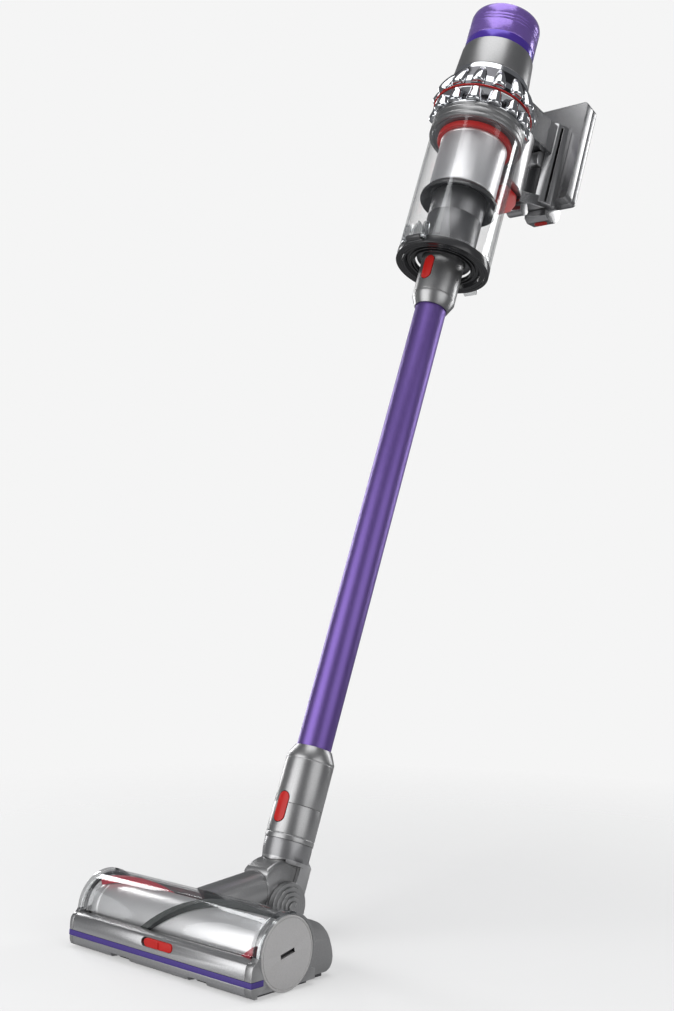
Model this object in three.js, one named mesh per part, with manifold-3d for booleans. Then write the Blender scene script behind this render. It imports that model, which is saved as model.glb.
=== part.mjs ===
// Cordless stick vacuum with a powered floor head, standing with its wand leaning back.
// Millimetres, +Z up, +Y towards the user, X across the floor head.
// The floor head is laid out from the brush bar's axis. The wand and the hand unit are
// laid out along the wand's own axis, measured from the elbow pivot.
import * as THREE from 'three';
import { mergeVertices } from 'three/addons/utils/BufferGeometryUtils.js';
import Module from 'manifold-3d';

const wasm = await Module();
wasm.setup();

// ---- Driving dimensions ----
const GAP = 0.3; // clearance left between touching pieces
const FACETS = 24; // sides of a large round piece
const LEAN = THREE.MathUtils.degToRad(20.55); // how far the wand leans back

// Floor head
const HEAD_WIDTH = 250;
const BRUSH_R = 32;
const BRUSH_Z = BRUSH_R + 2;
const CORE_R = BRUSH_R - 6;
const WINDOW_R = BRUSH_R + 3.5;
const WINDOW_WALL = 1.9;
const BUMPER_Y = -WINDOW_R - 9.5;
const BUMPER_TOP = BRUSH_Z - 1;
const SIDE_WALL = 5;
const REAR_Y = WINDOW_R + 33.5;
const SOLE_Z = 1.8;
const SOLE_THICK = 3;
const END_CAP_R = BRUSH_R + 1.4;
const SLIDER_LENGTH = 38;
const SLIDER_TRAVEL = 4.2;
const STRIP_Z = 14.5;
const STRIP_HEIGHT = 5;
const REAR_WHEEL_R = 9;
const FRONT_ROLLER_R = 4.5;

// Neck and elbow
const ELBOW_Y = REAR_Y + 42.2;
const ELBOW_Z = BRUSH_Z + 4.3;
const NECK_R = 19;
const NECK_BORE = 14;
const NECK_SLOPE = 0.09;
const NECK_SEAM_Y = ELBOW_Y - 27.2;
const NECK_SEAM_Z = ELBOW_Z + 18;
const HOOD_R = 45.8;
const HOOD_HALF = 16;
const CHEEK = 4;
const CHEEK_R = 24;
const PIVOT_R = 5.9;

// Wand, along its axis from the elbow pivot
const COLLAR_START = 62;
const COLLAR_LENGTH = 36;
const CUFF_R = 25.5;
const CUFF_LENGTH = 62;
const CUFF_CHAMFER = 12;
const TUBE_R = 18.3;
const TUBE_WALL = 1.6;
const TUBE_LENGTH = 531;
const UPPER_CUFF_LENGTH = 57;
const SPIGOT_LENGTH = 36;
const PILL_LENGTH = 31;
const PILL_WIDTH = 13;
const PILL_TRAVEL = 2;

// Bin and cyclone
const BIN_R = 56;
const BIN_WALL = 2;
const BIN_LENGTH = 200;
const FLAP_RIM = 9.5;
const COLLAR_BAND = 19;
const DUCT_R = 33;
const SHROUD_R = 41.5;
const SHROUD_LENGTH = 72;
const SKIRT_R = 48;
const CROWN_R = BIN_R + 9;
const CROWN_HEIGHT = 64;
const CYCLONES = 14;

// Motor, filter and display
const MOTOR_R = 48;
const MOTOR_TOP_R = 45.4;
const MOTOR_LENGTH = 42;
const FILTER_R = 44;
const FILTER_LENGTH = 55;
const DISPLAY_R = 27;

// Handle, with reach measured from the wand's axis
const RAIL_HALF = 20;
const RAIL_IN = BIN_R + 2.9;
const RAIL_OUT = RAIL_IN + 35.1;
const ARM_HALF = 16;
const ARM_THICK = 46;
const ARM_SLOPE = 0.147;
const GRIP_IN = RAIL_OUT + 33;
const GRIP_OUT = GRIP_IN + 25;
const GRIP_HALF = 25;
const BATTERY_HALF = 40;
const BATTERY_THICK = 28;
const BATTERY_LENGTH = 152;
const CELL_R = 9.1;
const CELL_LENGTH = 65;

// Stations along the wand's axis
const SEAM = COLLAR_START + COLLAR_LENGTH;
const CUFF_TOP = SEAM + CUFF_LENGTH;
const TUBE_TOP = CUFF_TOP + TUBE_LENGTH;
const BIN_FLOOR = TUBE_TOP + UPPER_CUFF_LENGTH;
const BIN_TOP = BIN_FLOOR + BIN_LENGTH;
const CROWN_TOP = BIN_TOP + CROWN_HEIGHT;
const MOTOR_TOP = CROWN_TOP + MOTOR_LENGTH;
const CAP_TOP = MOTOR_TOP + FILTER_LENGTH;
const SHROUD_TOP = BIN_TOP - COLLAR_BAND - 9;
const SHROUD_FOOT = SHROUD_TOP - SHROUD_LENGTH;

// Handle stations
const ARM_FOOT = CROWN_TOP - 18; // underside of the upper arm at the rail
const GRIP_TOP = CROWN_TOP + 38;
const GRIP_FOOT = BIN_TOP - 20;
const TRIGGER_Z = BIN_TOP + 43;
const BATTERY_FOOT = GRIP_TOP + 46 - BATTERY_LENGTH;

// ---- Solids ----
function toSolid(geometry) {
  const bare = geometry.clone();
  bare.deleteAttribute('normal');
  bare.deleteAttribute('uv');
  const merged = mergeVertices(bare, 1e-4);
  return new wasm.Manifold(new wasm.Mesh({
    numProp: 3,
    vertProperties: new Float32Array(merged.attributes.position.array),
    triVerts: new Uint32Array(merged.index.array),
  }));
}

function toGeometry(solid) {
  const mesh = solid.getMesh();
  const geometry = new THREE.BufferGeometry();
  geometry.setAttribute('position', new THREE.BufferAttribute(mesh.vertProperties, 3));
  geometry.setIndex(new THREE.BufferAttribute(mesh.triVerts, 1));
  geometry.computeVertexNormals();
  return geometry;
}

function join(...geometries) {
  return toGeometry(geometries.map(toSolid).reduce((a, b) => a.add(b)));
}

function cut(geometry, ...tools) {
  return toGeometry(tools.map(toSolid).reduce((a, b) => a.subtract(b), toSolid(geometry)));
}

function meet(a, b) {
  return toGeometry(toSolid(a).intersect(toSolid(b)));
}

// A closed outline of [radius, height] turned about the Z axis
function turned(outline, facets = FACETS) {
  const points = outline.map(([r, z]) => new THREE.Vector2(r, z));
  const open = outline[0][0] === 0 && outline[outline.length - 1][0] === 0;
  if (!open) {
    points.push(points[0].clone());
  }
  const area = points.reduce((sum, p, i) => {
    const q = points[(i + 1) % points.length];
    return sum + p.x * q.y - q.x * p.y;
  }, 0);
  if (area < 0) {
    points.reverse();
  }
  return new THREE.LatheGeometry(points, facets).rotateX(Math.PI / 2);
}

function ring(outer, inner, from, to, facets = FACETS) {
  return turned([[inner, from], [outer, from], [outer, to], [inner, to]], facets);
}

function disc(radius, from, to, facets = FACETS) {
  return turned([[0, from], [radius, from], [radius, to], [0, to]], facets);
}

// A round bar along X, centred at y, z
function barX(radius, from, to, y, z, facets = FACETS) {
  const bar = new THREE.CylinderGeometry(radius, radius, to - from, facets);
  return bar.rotateZ(Math.PI / 2).translate((from + to) / 2, y, z);
}

function box(x0, x1, y0, y1, z0, z1) {
  const block = new THREE.BoxGeometry(x1 - x0, y1 - y0, z1 - z0);
  return block.translate((x0 + x1) / 2, (y0 + y1) / 2, (z0 + z1) / 2);
}

function shapeOf(points) {
  return new THREE.Shape(points.map(([a, b]) => new THREE.Vector2(a, b)));
}

// An outline of [y, z] points, extruded along X
function prismX(points, from, to) {
  const solid = new THREE.ExtrudeGeometry(shapeOf(points), { depth: to - from, bevelEnabled: false });
  const axes = new THREE.Matrix4().makeBasis(
    new THREE.Vector3(0, 1, 0), new THREE.Vector3(0, 0, 1), new THREE.Vector3(1, 0, 0));
  return solid.applyMatrix4(axes).translate(from, 0, 0);
}

// An outline of [x, y] points, extruded along Z
function prismZ(points, from, to) {
  const solid = new THREE.ExtrudeGeometry(shapeOf(points), { depth: to - from, bevelEnabled: false });
  return solid.translate(0, 0, from);
}

// Points on a smooth curve through the given ones
function smooth(points, steps) {
  const curve = new THREE.SplineCurve(points.map(([a, b]) => new THREE.Vector2(a, b)));
  return curve.getPoints(steps).map((p) => [p.x, p.y]);
}

// Points on an arc about y, z, with angles in degrees from +Y towards +Z
function arc(radius, from, to, steps, y = 0, z = 0) {
  const points = [];
  for (let i = 0; i <= steps; i++) {
    const angle = THREE.MathUtils.degToRad(from + (to - from) * i / steps);
    points.push([y + radius * Math.cos(angle), z + radius * Math.sin(angle)]);
  }
  return points;
}

// A flat-sided pill: half circles at both ends of a straight, along X or along Z
function pill(length, width, depth, upright = true) {
  const half = length / 2 - width / 2;
  const top = arc(width / 2, 0, 180, 8, 0, half);
  const foot = arc(width / 2, 180, 360, 8, 0, -half);
  const outline = [...top, ...foot];
  const solid = new THREE.ExtrudeGeometry(shapeOf(outline), { depth, bevelEnabled: false });
  solid.rotateX(Math.PI / 2);
  return upright ? solid : solid.rotateY(Math.PI / 2);
}

function paint(color, roughness, metalness, opacity = 1) {
  return new THREE.MeshStandardMaterial({
    color, roughness, metalness, opacity, transparent: opacity < 1,
  });
}

const GUNMETAL = paint(0x8e8f92, 0.35, 0.6);
const NICKEL = paint(0xb9babd, 0.3, 0.7);
const DARK = paint(0x4b4c50, 0.45, 0.3);
const BLACK = paint(0x1c1c1f, 0.5, 0);
const CHROME = paint(0xd8dade, 0.1, 1);
const RED = paint(0xd9281e, 0.3, 0);
const PURPLE = paint(0x5a3a9a, 0.3, 0.5);
const CLEAR = paint(0xe6eaec, 0.05, 0, 0.25);
const CLEAR_PURPLE = paint(0x6d4bc4, 0.1, 0, 0.7);
const RUBBER = paint(0x3b2a86, 0.7, 0);
const STEEL = paint(0xa8abb0, 0.3, 1);
const PAPER = paint(0xe8e6e0, 0.9, 0);
const COPPER = paint(0xb5713a, 0.4, 0.9);
const BOARD = paint(0x1f5d3a, 0.6, 0);
const CELL = paint(0x3f6fae, 0.4, 0.1);
const FIBRE = paint(0x2c2c30, 0.8, 0);

const vacuum = new THREE.Group();
const head = new THREE.Group();
const upright = new THREE.Group(); // X across, Y towards the user, Z along the wand
upright.position.set(0, ELBOW_Y, ELBOW_Z);
upright.rotation.x = -LEAN;
vacuum.add(head, upright);

function add(parent, name, geometry, material) {
  const mesh = new THREE.Mesh(geometry, material);
  mesh.name = name;
  parent.add(mesh);
  return mesh;
}

// ---- Floor head ----
const HALF = HEAD_WIDTH / 2;
const INNER_LEFT = -HALF + SIDE_WALL;
const INNER_RIGHT = HALF - SIDE_WALL - 3;
const SOLE_TOP = SOLE_Z + SOLE_THICK;
const CHAMBER_R = WINDOW_R + GAP;
const WHEEL_X = 84;
const WHEEL_WIDTH = 8;
const WHEEL_Y = REAR_Y - 21;
const ROLLER_Y = BUMPER_Y + 14;
const LIP_Y = BUMPER_Y + 8; // back of the bumper's lower lip
const ROLLERS = [[-62, -38], [45, 67]];

// Rear of the head in side view, from the chamber wall over the back and down to the sole
function rearOutline() {
  const chamber = arc(CHAMBER_R, -52, 34, 10, 0, BRUSH_Z);
  const back = smooth([
    [WINDOW_R - 4.5, BRUSH_Z + WINDOW_R - 12.5],
    [WINDOW_R + 0.5, BRUSH_Z + WINDOW_R - 12.9],
    [REAR_Y - 19, BRUSH_Z + 16.5],
    [REAR_Y - 8, BRUSH_Z + 6],
    [REAR_Y - 2, BRUSH_Z - 7],
    [REAR_Y, BRUSH_Z - 18],
    [REAR_Y - 3, SOLE_TOP + 3.5],
    [REAR_Y - 9, SOLE_TOP + GAP],
  ], 20);
  return [...chamber, ...back, [24, SOLE_TOP + GAP]];
}

// Front of the bumper in side view, from its top edge down to the floor side
function frontOutline() {
  const face = smooth([
    [BUMPER_Y + 6, BUMPER_TOP - 0.2],
    [BUMPER_Y + 3, BUMPER_TOP - 1.6],
    [BUMPER_Y + 0.8, BUMPER_TOP - 5],
    [BUMPER_Y, BUMPER_TOP - 11],
    [BUMPER_Y, STRIP_Z],
    [BUMPER_Y + 0.4, SOLE_Z + 5.5],
    [BUMPER_Y + 2, SOLE_Z + 1.6],
    [BUMPER_Y + 4.4, SOLE_Z + 0.4],
  ], 14);
  return [...face, [LIP_Y, SOLE_Z + 0.4], [LIP_Y, SOLE_TOP + GAP]];
}

// One side plate: a round cheek over the brush bar that runs forward into the bumper
function sideOutline() {
  const round = arc(WINDOW_R + 0.7, -30, 176, 24, 0, BRUSH_Z);
  const back = WINDOW_R + 1.5;
  return [[back, SOLE_TOP + GAP], [back, BRUSH_Z - 20], ...round, ...frontOutline()];
}

function neckAxis(geometry) {
  // laid along +Z, then turned to run along the neck from the seam towards the brush
  return geometry.rotateX(Math.PI / 2 + Math.atan(NECK_SLOPE)).translate(0, NECK_SEAM_Y, NECK_SEAM_Z);
}

function wheelWell(x) {
  const clear = REAR_WHEEL_R + 1.5;
  const half = WHEEL_WIDTH / 2 + 1;
  return barX(clear, x - half, x + half, WHEEL_Y, REAR_WHEEL_R, 24);
}

function stripSpace(grow) {
  const low = STRIP_Z - STRIP_HEIGHT / 2 - grow;
  const high = STRIP_Z + STRIP_HEIGHT / 2 + grow;
  const depth = 1.4 + grow;
  const outer = HALF + 0.2 + grow;
  const front = box(-outer, outer, BUMPER_Y - 0.2 - grow, BUMPER_Y + depth, low, high);
  const returns = [-1, 1].map((side) => box(
    Math.min(side * outer, side * (HALF - depth)), Math.max(side * outer, side * (HALF - depth)),
    BUMPER_Y - 0.2 - grow, BUMPER_Y + 15 + grow, low, high));
  return join(front, ...returns);
}

function chassis() {
  const rear = prismX(rearOutline(), INNER_LEFT - 1, INNER_RIGHT + 1);
  const left = prismX(sideOutline(), -HALF, INNER_LEFT);
  const right = prismX(sideOutline(), INNER_RIGHT, HALF);
  const cavities = [-1, 1].map((side) => box(
    Math.min(side * 24, side * (HALF - 12)), Math.max(side * 24, side * (HALF - 12)),
    40, REAR_Y - 8, SOLE_Z, BRUSH_Z + 2));
  const capHole = barX(END_CAP_R + GAP, HALF - 4 - GAP, HALF + 1, 0, BRUSH_Z);
  const motorHole = barX(8 + GAP, -HALF - 1, INNER_LEFT + 1, 0, BRUSH_Z, 24);
  const axleHole = barX(4.2, INNER_RIGHT - 1, INNER_RIGHT + 2.5, 0, BRUSH_Z, 24);
  const saddle = neckAxis(disc(NECK_R + GAP, -2, 90));
  const lowTop = box(INNER_LEFT, 0, 20, 60, BRUSH_Z + 18, BRUSH_Z + 40);
  return cut(
    join(rear, left, right), ...cavities, capHole, motorHole, axleHole, saddle, lowTop,
    wheelWell(-WHEEL_X), wheelWell(WHEEL_X), stripSpace(GAP));
}
add(head, 'head_chassis', chassis(), GUNMETAL);

function solePlate() {
  const front = LIP_Y + GAP;
  const back = REAR_Y - 9;
  const right = HALF - 4 - 2 * GAP;
  const outline = [
    [-HALF + 3, front], [right - 3, front], [right, front + 3], [right, 30], [INNER_RIGHT - 1, 36],
    [INNER_RIGHT - 1, back - 4], [INNER_RIGHT - 5, back], [INNER_LEFT + 5, back], [INNER_LEFT + 1, back - 4],
    [INNER_LEFT + 1, 36], [-HALF + 1, 30], [-HALF + 1, front + 3],
  ];
  const mouth = box(INNER_LEFT + 4, INNER_RIGHT - 4, -21, 22, 0, SOLE_TOP + 1);
  const wells = [-1, 1].map((side) => box(
    side * WHEEL_X - 5.2, side * WHEEL_X + 5.2,
    WHEEL_Y - REAR_WHEEL_R - 1, WHEEL_Y + REAR_WHEEL_R + 1, 0, SOLE_TOP + 1));
  const notches = ROLLERS.map(([from, to]) => box(
    from - 1.2, to + 1.2, BUMPER_Y, ROLLER_Y + FRONT_ROLLER_R + 1.2, 0, SOLE_TOP + 1));
  return cut(prismZ(outline, SOLE_Z, SOLE_TOP), mouth, ...wells, ...notches);
}
add(head, 'sole_plate', solePlate(), DARK);

function brushWindow() {
  const outer = arc(WINDOW_R, 36, 177, 24, 0, BRUSH_Z);
  const inner = arc(WINDOW_R - WINDOW_WALL, 177, 36, 24, 0, BRUSH_Z);
  const sheet = prismX([...outer, ...inner], INNER_LEFT + GAP, INNER_RIGHT - GAP);
  return cut(sheet, neckAxis(disc(NECK_BORE + GAP, -2, 90, 24)));
}
add(head, 'brush_window', brushWindow(), CLEAR);

const SLIDER_Z = 26;
const SLIDER_WIDTH = 7.6;
const SLIDER_X = 4;

function bumper() {
  const face = [[-WINDOW_R - 1.2, BUMPER_TOP + 0.6], ...frontOutline()];
  const inside = arc(BRUSH_R + 1.8, 236, 180.5, 8, 0, BRUSH_Z);
  const bar = prismX([...face, [-20, SOLE_TOP + GAP], ...inside], INNER_LEFT + GAP, INNER_RIGHT - GAP);
  const slot = pill(SLIDER_LENGTH + SLIDER_TRAVEL + 2 * GAP, SLIDER_WIDTH + 2 * GAP, 20, false);
  slot.translate(SLIDER_X - SLIDER_TRAVEL / 2, BUMPER_Y + 6.5, SLIDER_Z);
  const windowSpace = prismX(
    [...arc(WINDOW_R + GAP, 170, 178.5, 3, 0, BRUSH_Z), ...arc(20, 178.5, 170, 1, 0, BRUSH_Z)],
    -HALF, HALF);
  const rollers = ROLLERS.map(([from, to]) => barX(
    FRONT_ROLLER_R + 1.2, from - 1.2, to + 1.2, ROLLER_Y, FRONT_ROLLER_R, 16));
  const notches = ROLLERS.map(([from, to]) => box(
    from - 1.2, to + 1.2, BUMPER_Y - 1, LIP_Y + 1, 0, SOLE_Z + 4.2));
  return cut(bar, slot, windowSpace, stripSpace(GAP), ...rollers, ...notches);
}
add(head, 'front_bumper', bumper(), NICKEL);
add(head, 'soft_strip', stripSpace(0), RUBBER);

function suctionSlider() {
  const plate = pill(SLIDER_LENGTH, SLIDER_WIDTH, 6.2, false);
  plate.translate(SLIDER_X, BUMPER_Y + 6.2 - GAP, SLIDER_Z);
  const ridge = box(
    SLIDER_X - 1.2, SLIDER_X + 1.2, BUMPER_Y - 1.4, BUMPER_Y + 1,
    SLIDER_Z - SLIDER_WIDTH / 2 + 0.8, SLIDER_Z + SLIDER_WIDTH / 2 - 0.8);
  return join(plate, ridge);
}
add(head, 'suction_slider', suctionSlider(), RED);

// Brush bar: a hollow core that carries two spiral strips and runs on its own motor
const BAR_LEFT = INNER_LEFT + 3;
const BAR_RIGHT = INNER_RIGHT - 3;

function brushCore() {
  const core = turned([
    [CORE_R - 5, BAR_LEFT], [CORE_R, BAR_LEFT], [CORE_R, BAR_RIGHT],
    [4, BAR_RIGHT], [4, BAR_RIGHT + 4.5], [0, BAR_RIGHT + 4.5], [0, BAR_RIGHT - 4],
    [CORE_R - 5, BAR_RIGHT - 4],
  ].reverse(), FACETS);
  return core;
}

function spiral(angle, radiusIn, radiusOut, width) {
  // ribbons wind one full turn over 270 mm of bar
  const steps = 30;
  const from = BAR_LEFT + 2;
  const length = BAR_RIGHT - BAR_LEFT - 4;
  const positions = [];
  const index = [];
  const half = width / 2;
  for (let i = 0; i <= steps; i++) {
    const x = from + length * i / steps;
    const turn = angle - (x / 270) * 2 * Math.PI;
    const corners = [[radiusIn, -half], [radiusOut, -half * 0.8], [radiusOut, half * 0.8], [radiusIn, half]];
    corners.forEach(([r, s]) => {
      const a = turn + s / r;
      positions.push(x, r * Math.cos(a), BRUSH_Z + r * Math.sin(a));
    });
  }
  for (let i = 0; i < steps; i++) {
    for (let k = 0; k < 4; k++) {
      const a = i * 4 + k;
      const b = i * 4 + (k + 1) % 4;
      index.push(a, b, a + 4, b, b + 4, a + 4);
    }
  }
  const end = steps * 4;
  index.push(0, 2, 1, 0, 3, 2, end, end + 1, end + 2, end, end + 2, end + 3);
  const geometry = new THREE.BufferGeometry();
  geometry.setAttribute('position', new THREE.Float32BufferAttribute(positions, 3));
  geometry.setIndex(index);
  geometry.computeVertexNormals();
  return geometry;
}

function turnToX(geometry) {
  return geometry.rotateY(Math.PI / 2).translate(0, 0, BRUSH_Z);
}
add(head, 'brush_core', turnToX(brushCore()), NICKEL);
const RIBBON_IN = (CORE_R + GAP) / Math.cos(THREE.MathUtils.degToRad(11)); // clears the core's round
add(head, 'bristles_red', spiral(THREE.MathUtils.degToRad(320), RIBBON_IN, BRUSH_R, 9), RED);
add(head, 'bristles_dark', spiral(THREE.MathUtils.degToRad(140), RIBBON_IN, BRUSH_R, 9), FIBRE);

function brushMotor() {
  const can = barX(CORE_R - 7, INNER_LEFT + GAP, 20, 0, BRUSH_Z, 28);
  const boss = barX(8, -HALF + 1, INNER_LEFT + 1, 0, BRUSH_Z, 24);
  return join(can, boss);
}
add(head, 'brush_motor', brushMotor(), STEEL);

function endCap() {
  const face = barX(END_CAP_R, HALF - 4, HALF, 0, BRUSH_Z);
  const slot = box(HALF - 1.6, HALF + 1, -9, 9, BRUSH_Z - 1.6, BRUSH_Z + 1.6);
  return cut(face, slot);
}
add(head, 'end_cap', endCap(), NICKEL);

function rearWheel(x) {
  return barX(REAR_WHEEL_R, x - WHEEL_WIDTH / 2, x + WHEEL_WIDTH / 2, WHEEL_Y, REAR_WHEEL_R, 28);
}
add(head, 'rear_wheel_left', rearWheel(-WHEEL_X), RUBBER);
add(head, 'rear_wheel_right', rearWheel(WHEEL_X), RUBBER);
ROLLERS.forEach(([from, to], i) => {
  add(head, i ? 'front_roller_right' : 'front_roller_left',
    barX(FRONT_ROLLER_R, from, to, ROLLER_Y, FRONT_ROLLER_R, 20), BLACK);
});

function neckTube() {
  const tube = neckAxis(disc(NECK_R, GAP, 90));
  const reach = box(-60, 60, -5, NECK_SEAM_Y + 10, 0, 100);
  const chamber = barX(WINDOW_R + GAP, -60, 60, 0, BRUSH_Z, 40);
  const bore = neckAxis(disc(NECK_BORE, -3, 90, 24));
  const behind = box(-60, 60, -60, 4, -20, 100);
  return cut(meet(tube, reach), chamber, bore, behind);
}
add(head, 'neck_tube', neckTube(), GUNMETAL);

// ---- Elbow: a hood that turns on the neck and carries the wand's pivot ----
const elbow = new THREE.Group();
elbow.position.set(0, ELBOW_Y, ELBOW_Z);
vacuum.add(elbow);
const SEAM_Y = NECK_SEAM_Y - ELBOW_Y;
const SEAM_Z = NECK_SEAM_Z - ELBOW_Z;

function neckAxisAtElbow(geometry) {
  return geometry.rotateX(Math.PI / 2 + Math.atan(NECK_SLOPE)).translate(0, SEAM_Y, SEAM_Z);
}

function elbowHood() {
  const outline = [
    ...arc(HOOD_R, 55, 124, 12),
    [SEAM_Y + 1, SEAM_Z - 12], [SEAM_Y + 8, -10],
    ...arc(20, 215, 340, 8),
  ];
  const shell = prismX(outline, -HOOD_HALF, HOOD_HALF);
  const mouth = neckAxisAtElbow(disc(NECK_R, -2.4, 0));
  const trimmed = meet(mouth, barX(HOOD_R, -40, 40, 0, 0, 36));
  const cheeksClear = [-1, 1].map((side) => barX(
    CHEEK_R + GAP + 0.4, Math.min(side * HOOD_HALF, side * 40),
    Math.max(side * HOOD_HALF, side * 40), 0, 0));
  const seam = neckAxisAtElbow(box(-60, 60, -60, 60, 0, 40));
  const duct = neckAxisAtElbow(disc(NECK_BORE, -22, 1, 24));
  const riser = turned([[0, 4], [12, 4], [12, 60], [0, 60]], 24).rotateX(-LEAN);
  const pivot = barX(PIVOT_R + 0.1, -40, 40, 0, 0, 36);
  return cut(join(shell, trimmed), seam, duct, riser, pivot, ...cheeksClear);
}
add(elbow, 'elbow_hood', elbowHood(), GUNMETAL);

// ---- Neck collar and yoke, which lean with the wand ----
function yoke() {
  const cup = turned([
    [0, 40], [22.5, 40], [24.6, 50], [CUFF_R - 0.4, COLLAR_START - GAP], [0, COLLAR_START - GAP],
  ]);
  const arm = [
    ...arc(CHEEK_R, 80, 390, 18), // a round foot with one strut up the back
    [CHEEK_R * 0.87, COLLAR_START - 4], [4, COLLAR_START - 4],
  ];
  const cheeks = [-1, 1].map((side) => prismX(
    arm, side > 0 ? HOOD_HALF + 0.4 : -HOOD_HALF - 0.4 - CHEEK,
    side > 0 ? HOOD_HALF + 0.4 + CHEEK : -HOOD_HALF - 0.4));
  const sweep = barX(HOOD_R + 0.5, -HOOD_HALF - 0.4, HOOD_HALF + 0.4, 0, 0, 36);
  const bore = disc(TUBE_R - TUBE_WALL - GAP, 0, COLLAR_START + 5, 24);
  const pivot = barX(PIVOT_R + GAP, -40, 40, 0, 0);
  return cut(join(cup, ...cheeks), sweep, bore, pivot);
}
add(upright, 'neck_yoke', yoke(), DARK);

function pillSpace(z, side = -1) {
  const space = pill(PILL_LENGTH + 2 * GAP, PILL_WIDTH + 2 * GAP, 12);
  return space.translate(0, side * CUFF_R + 5.4, z);
}

function pillButton(z) {
  const block = pill(PILL_LENGTH, PILL_WIDTH, 3.6);
  block.translate(0, -CUFF_R + 2.9, z);
  return meet(block, ring(CUFF_R + 0.5, 10, z - 40, z + 40, 28));
}

const SPIGOT_R = TUBE_R + 1.2;
const LOWER_PILL_Z = SEAM - 5;
function neckCollar() {
  const body = turned([
    [TUBE_R - 2, COLLAR_START], [CUFF_R, COLLAR_START], [CUFF_R, SEAM], [SPIGOT_R, SEAM],
    [SPIGOT_R, SEAM + 17], [TUBE_R - 2, SEAM + 17],
  ]);
  return cut(body, meet(pillSpace(LOWER_PILL_Z), ring(40, SPIGOT_R, 0, SEAM + 30)));
}
add(upright, 'neck_collar', neckCollar(), GUNMETAL);
add(upright, 'neck_button', pillButton(LOWER_PILL_Z), RED);
add(upright, 'pivot_pin', barX(PIVOT_R, -HOOD_HALF - CHEEK - 0.2, HOOD_HALF + CHEEK + 0.2, 0, 0), STEEL);

function pivotCap(side) {
  const steps = [[CHEEK_R, 2.2], [19.5, 4], [15, 5.6], [10.5, 7.2], [6, 8.6]];
  const outline = [[0, 0]];
  let height = 0;
  steps.forEach(([r, top]) => {
    outline.push([r, height], [r, top]);
    height = top;
  });
  outline.push([0, height]);
  const cap = turned(outline, 24).rotateY(side * Math.PI / 2);
  return cap.translate(side * (HOOD_HALF + 0.4 + CHEEK + GAP), 0, 0);
}
add(upright, 'pivot_cap_right', pivotCap(1), GUNMETAL);
add(upright, 'pivot_cap_left', pivotCap(-1), GUNMETAL);

// ---- Wand ----
const SOCKET_R = SPIGOT_R + GAP;
function lowerCuff() {
  const body = turned([
    [SOCKET_R, SEAM + GAP], [CUFF_R, SEAM + GAP], [CUFF_R, CUFF_TOP - CUFF_CHAMFER],
    [TUBE_R + 1.5, CUFF_TOP], [TUBE_R + GAP, CUFF_TOP], [TUBE_R + GAP, SEAM + 18], [SOCKET_R, SEAM + 18],
  ]);
  return cut(body, pillSpace(LOWER_PILL_Z));
}
add(upright, 'lower_cuff', lowerCuff(), GUNMETAL);
add(upright, 'wand_tube', ring(TUBE_R, TUBE_R - TUBE_WALL, SEAM + 18, TUBE_TOP + 20), PURPLE);

const UPPER_PILL_Z = BIN_FLOOR - 13;
function upperCuff() {
  const spigot = CUFF_R - 0.3;
  const body = turned([
    [TUBE_R + GAP, TUBE_TOP], [TUBE_R + 1.5, TUBE_TOP], [CUFF_R, TUBE_TOP + CUFF_CHAMFER],
    [CUFF_R, BIN_FLOOR + 4], [spigot, BIN_FLOOR + 5], [spigot, BIN_FLOOR + SPIGOT_LENGTH],
    [TUBE_R, BIN_FLOOR + SPIGOT_LENGTH], [TUBE_R, TUBE_TOP + 20 + GAP], [TUBE_R + GAP, TUBE_TOP + 20 + GAP],
  ]);
  return cut(body, meet(pillSpace(UPPER_PILL_Z), ring(40, TUBE_R + 1.6, 0, BIN_FLOOR + 30)));
}
add(upright, 'upper_cuff', upperCuff(), GUNMETAL);
add(upright, 'wand_button', pillButton(UPPER_PILL_Z), RED);

// ---- Dust bin ----
const HINGE_Y = -BIN_R - 4.2;
const HINGE_Z = BIN_FLOOR + 5;
const BIN_FOOT = BIN_FLOOR + FLAP_RIM + 0.8;
const BAND_FOOT = BIN_TOP - COLLAR_BAND - 2;

function binBody() {
  const wall = ring(BIN_R, BIN_R - BIN_WALL, BIN_FOOT, BAND_FOOT, 36);
  const lug = [
    [HINGE_Y - 3.5, HINGE_Z - 3.5], [HINGE_Y + 2.8, HINGE_Z - 3.5], [HINGE_Y + 2.8, BIN_FOOT + GAP],
    [HINGE_Y + 5.6, BIN_FOOT + GAP], [HINGE_Y + 5.6, BIN_FOOT + 14], [HINGE_Y + 2, BIN_FOOT + 14],
    [HINGE_Y - 3.5, HINGE_Z + 7],
  ];
  const lugs = [-1, 1].map((side) => prismX(lug, side > 0 ? 10.4 : -16.4, side > 0 ? 16.4 : -10.4));
  return cut(join(wall, ...lugs), barX(1.9, -30, 30, HINGE_Y, HINGE_Z, 16));
}
add(upright, 'clear_bin', binBody(), CLEAR);
add(upright, 'bin_band',
  ring(BIN_R + 2, BIN_R - BIN_WALL - 0.4, BAND_FOOT + GAP, BIN_TOP - 2, 36), NICKEL);
add(upright, 'flap_pin', barX(1.6, -16, 16, HINGE_Y, HINGE_Z, 16), STEEL);

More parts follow.
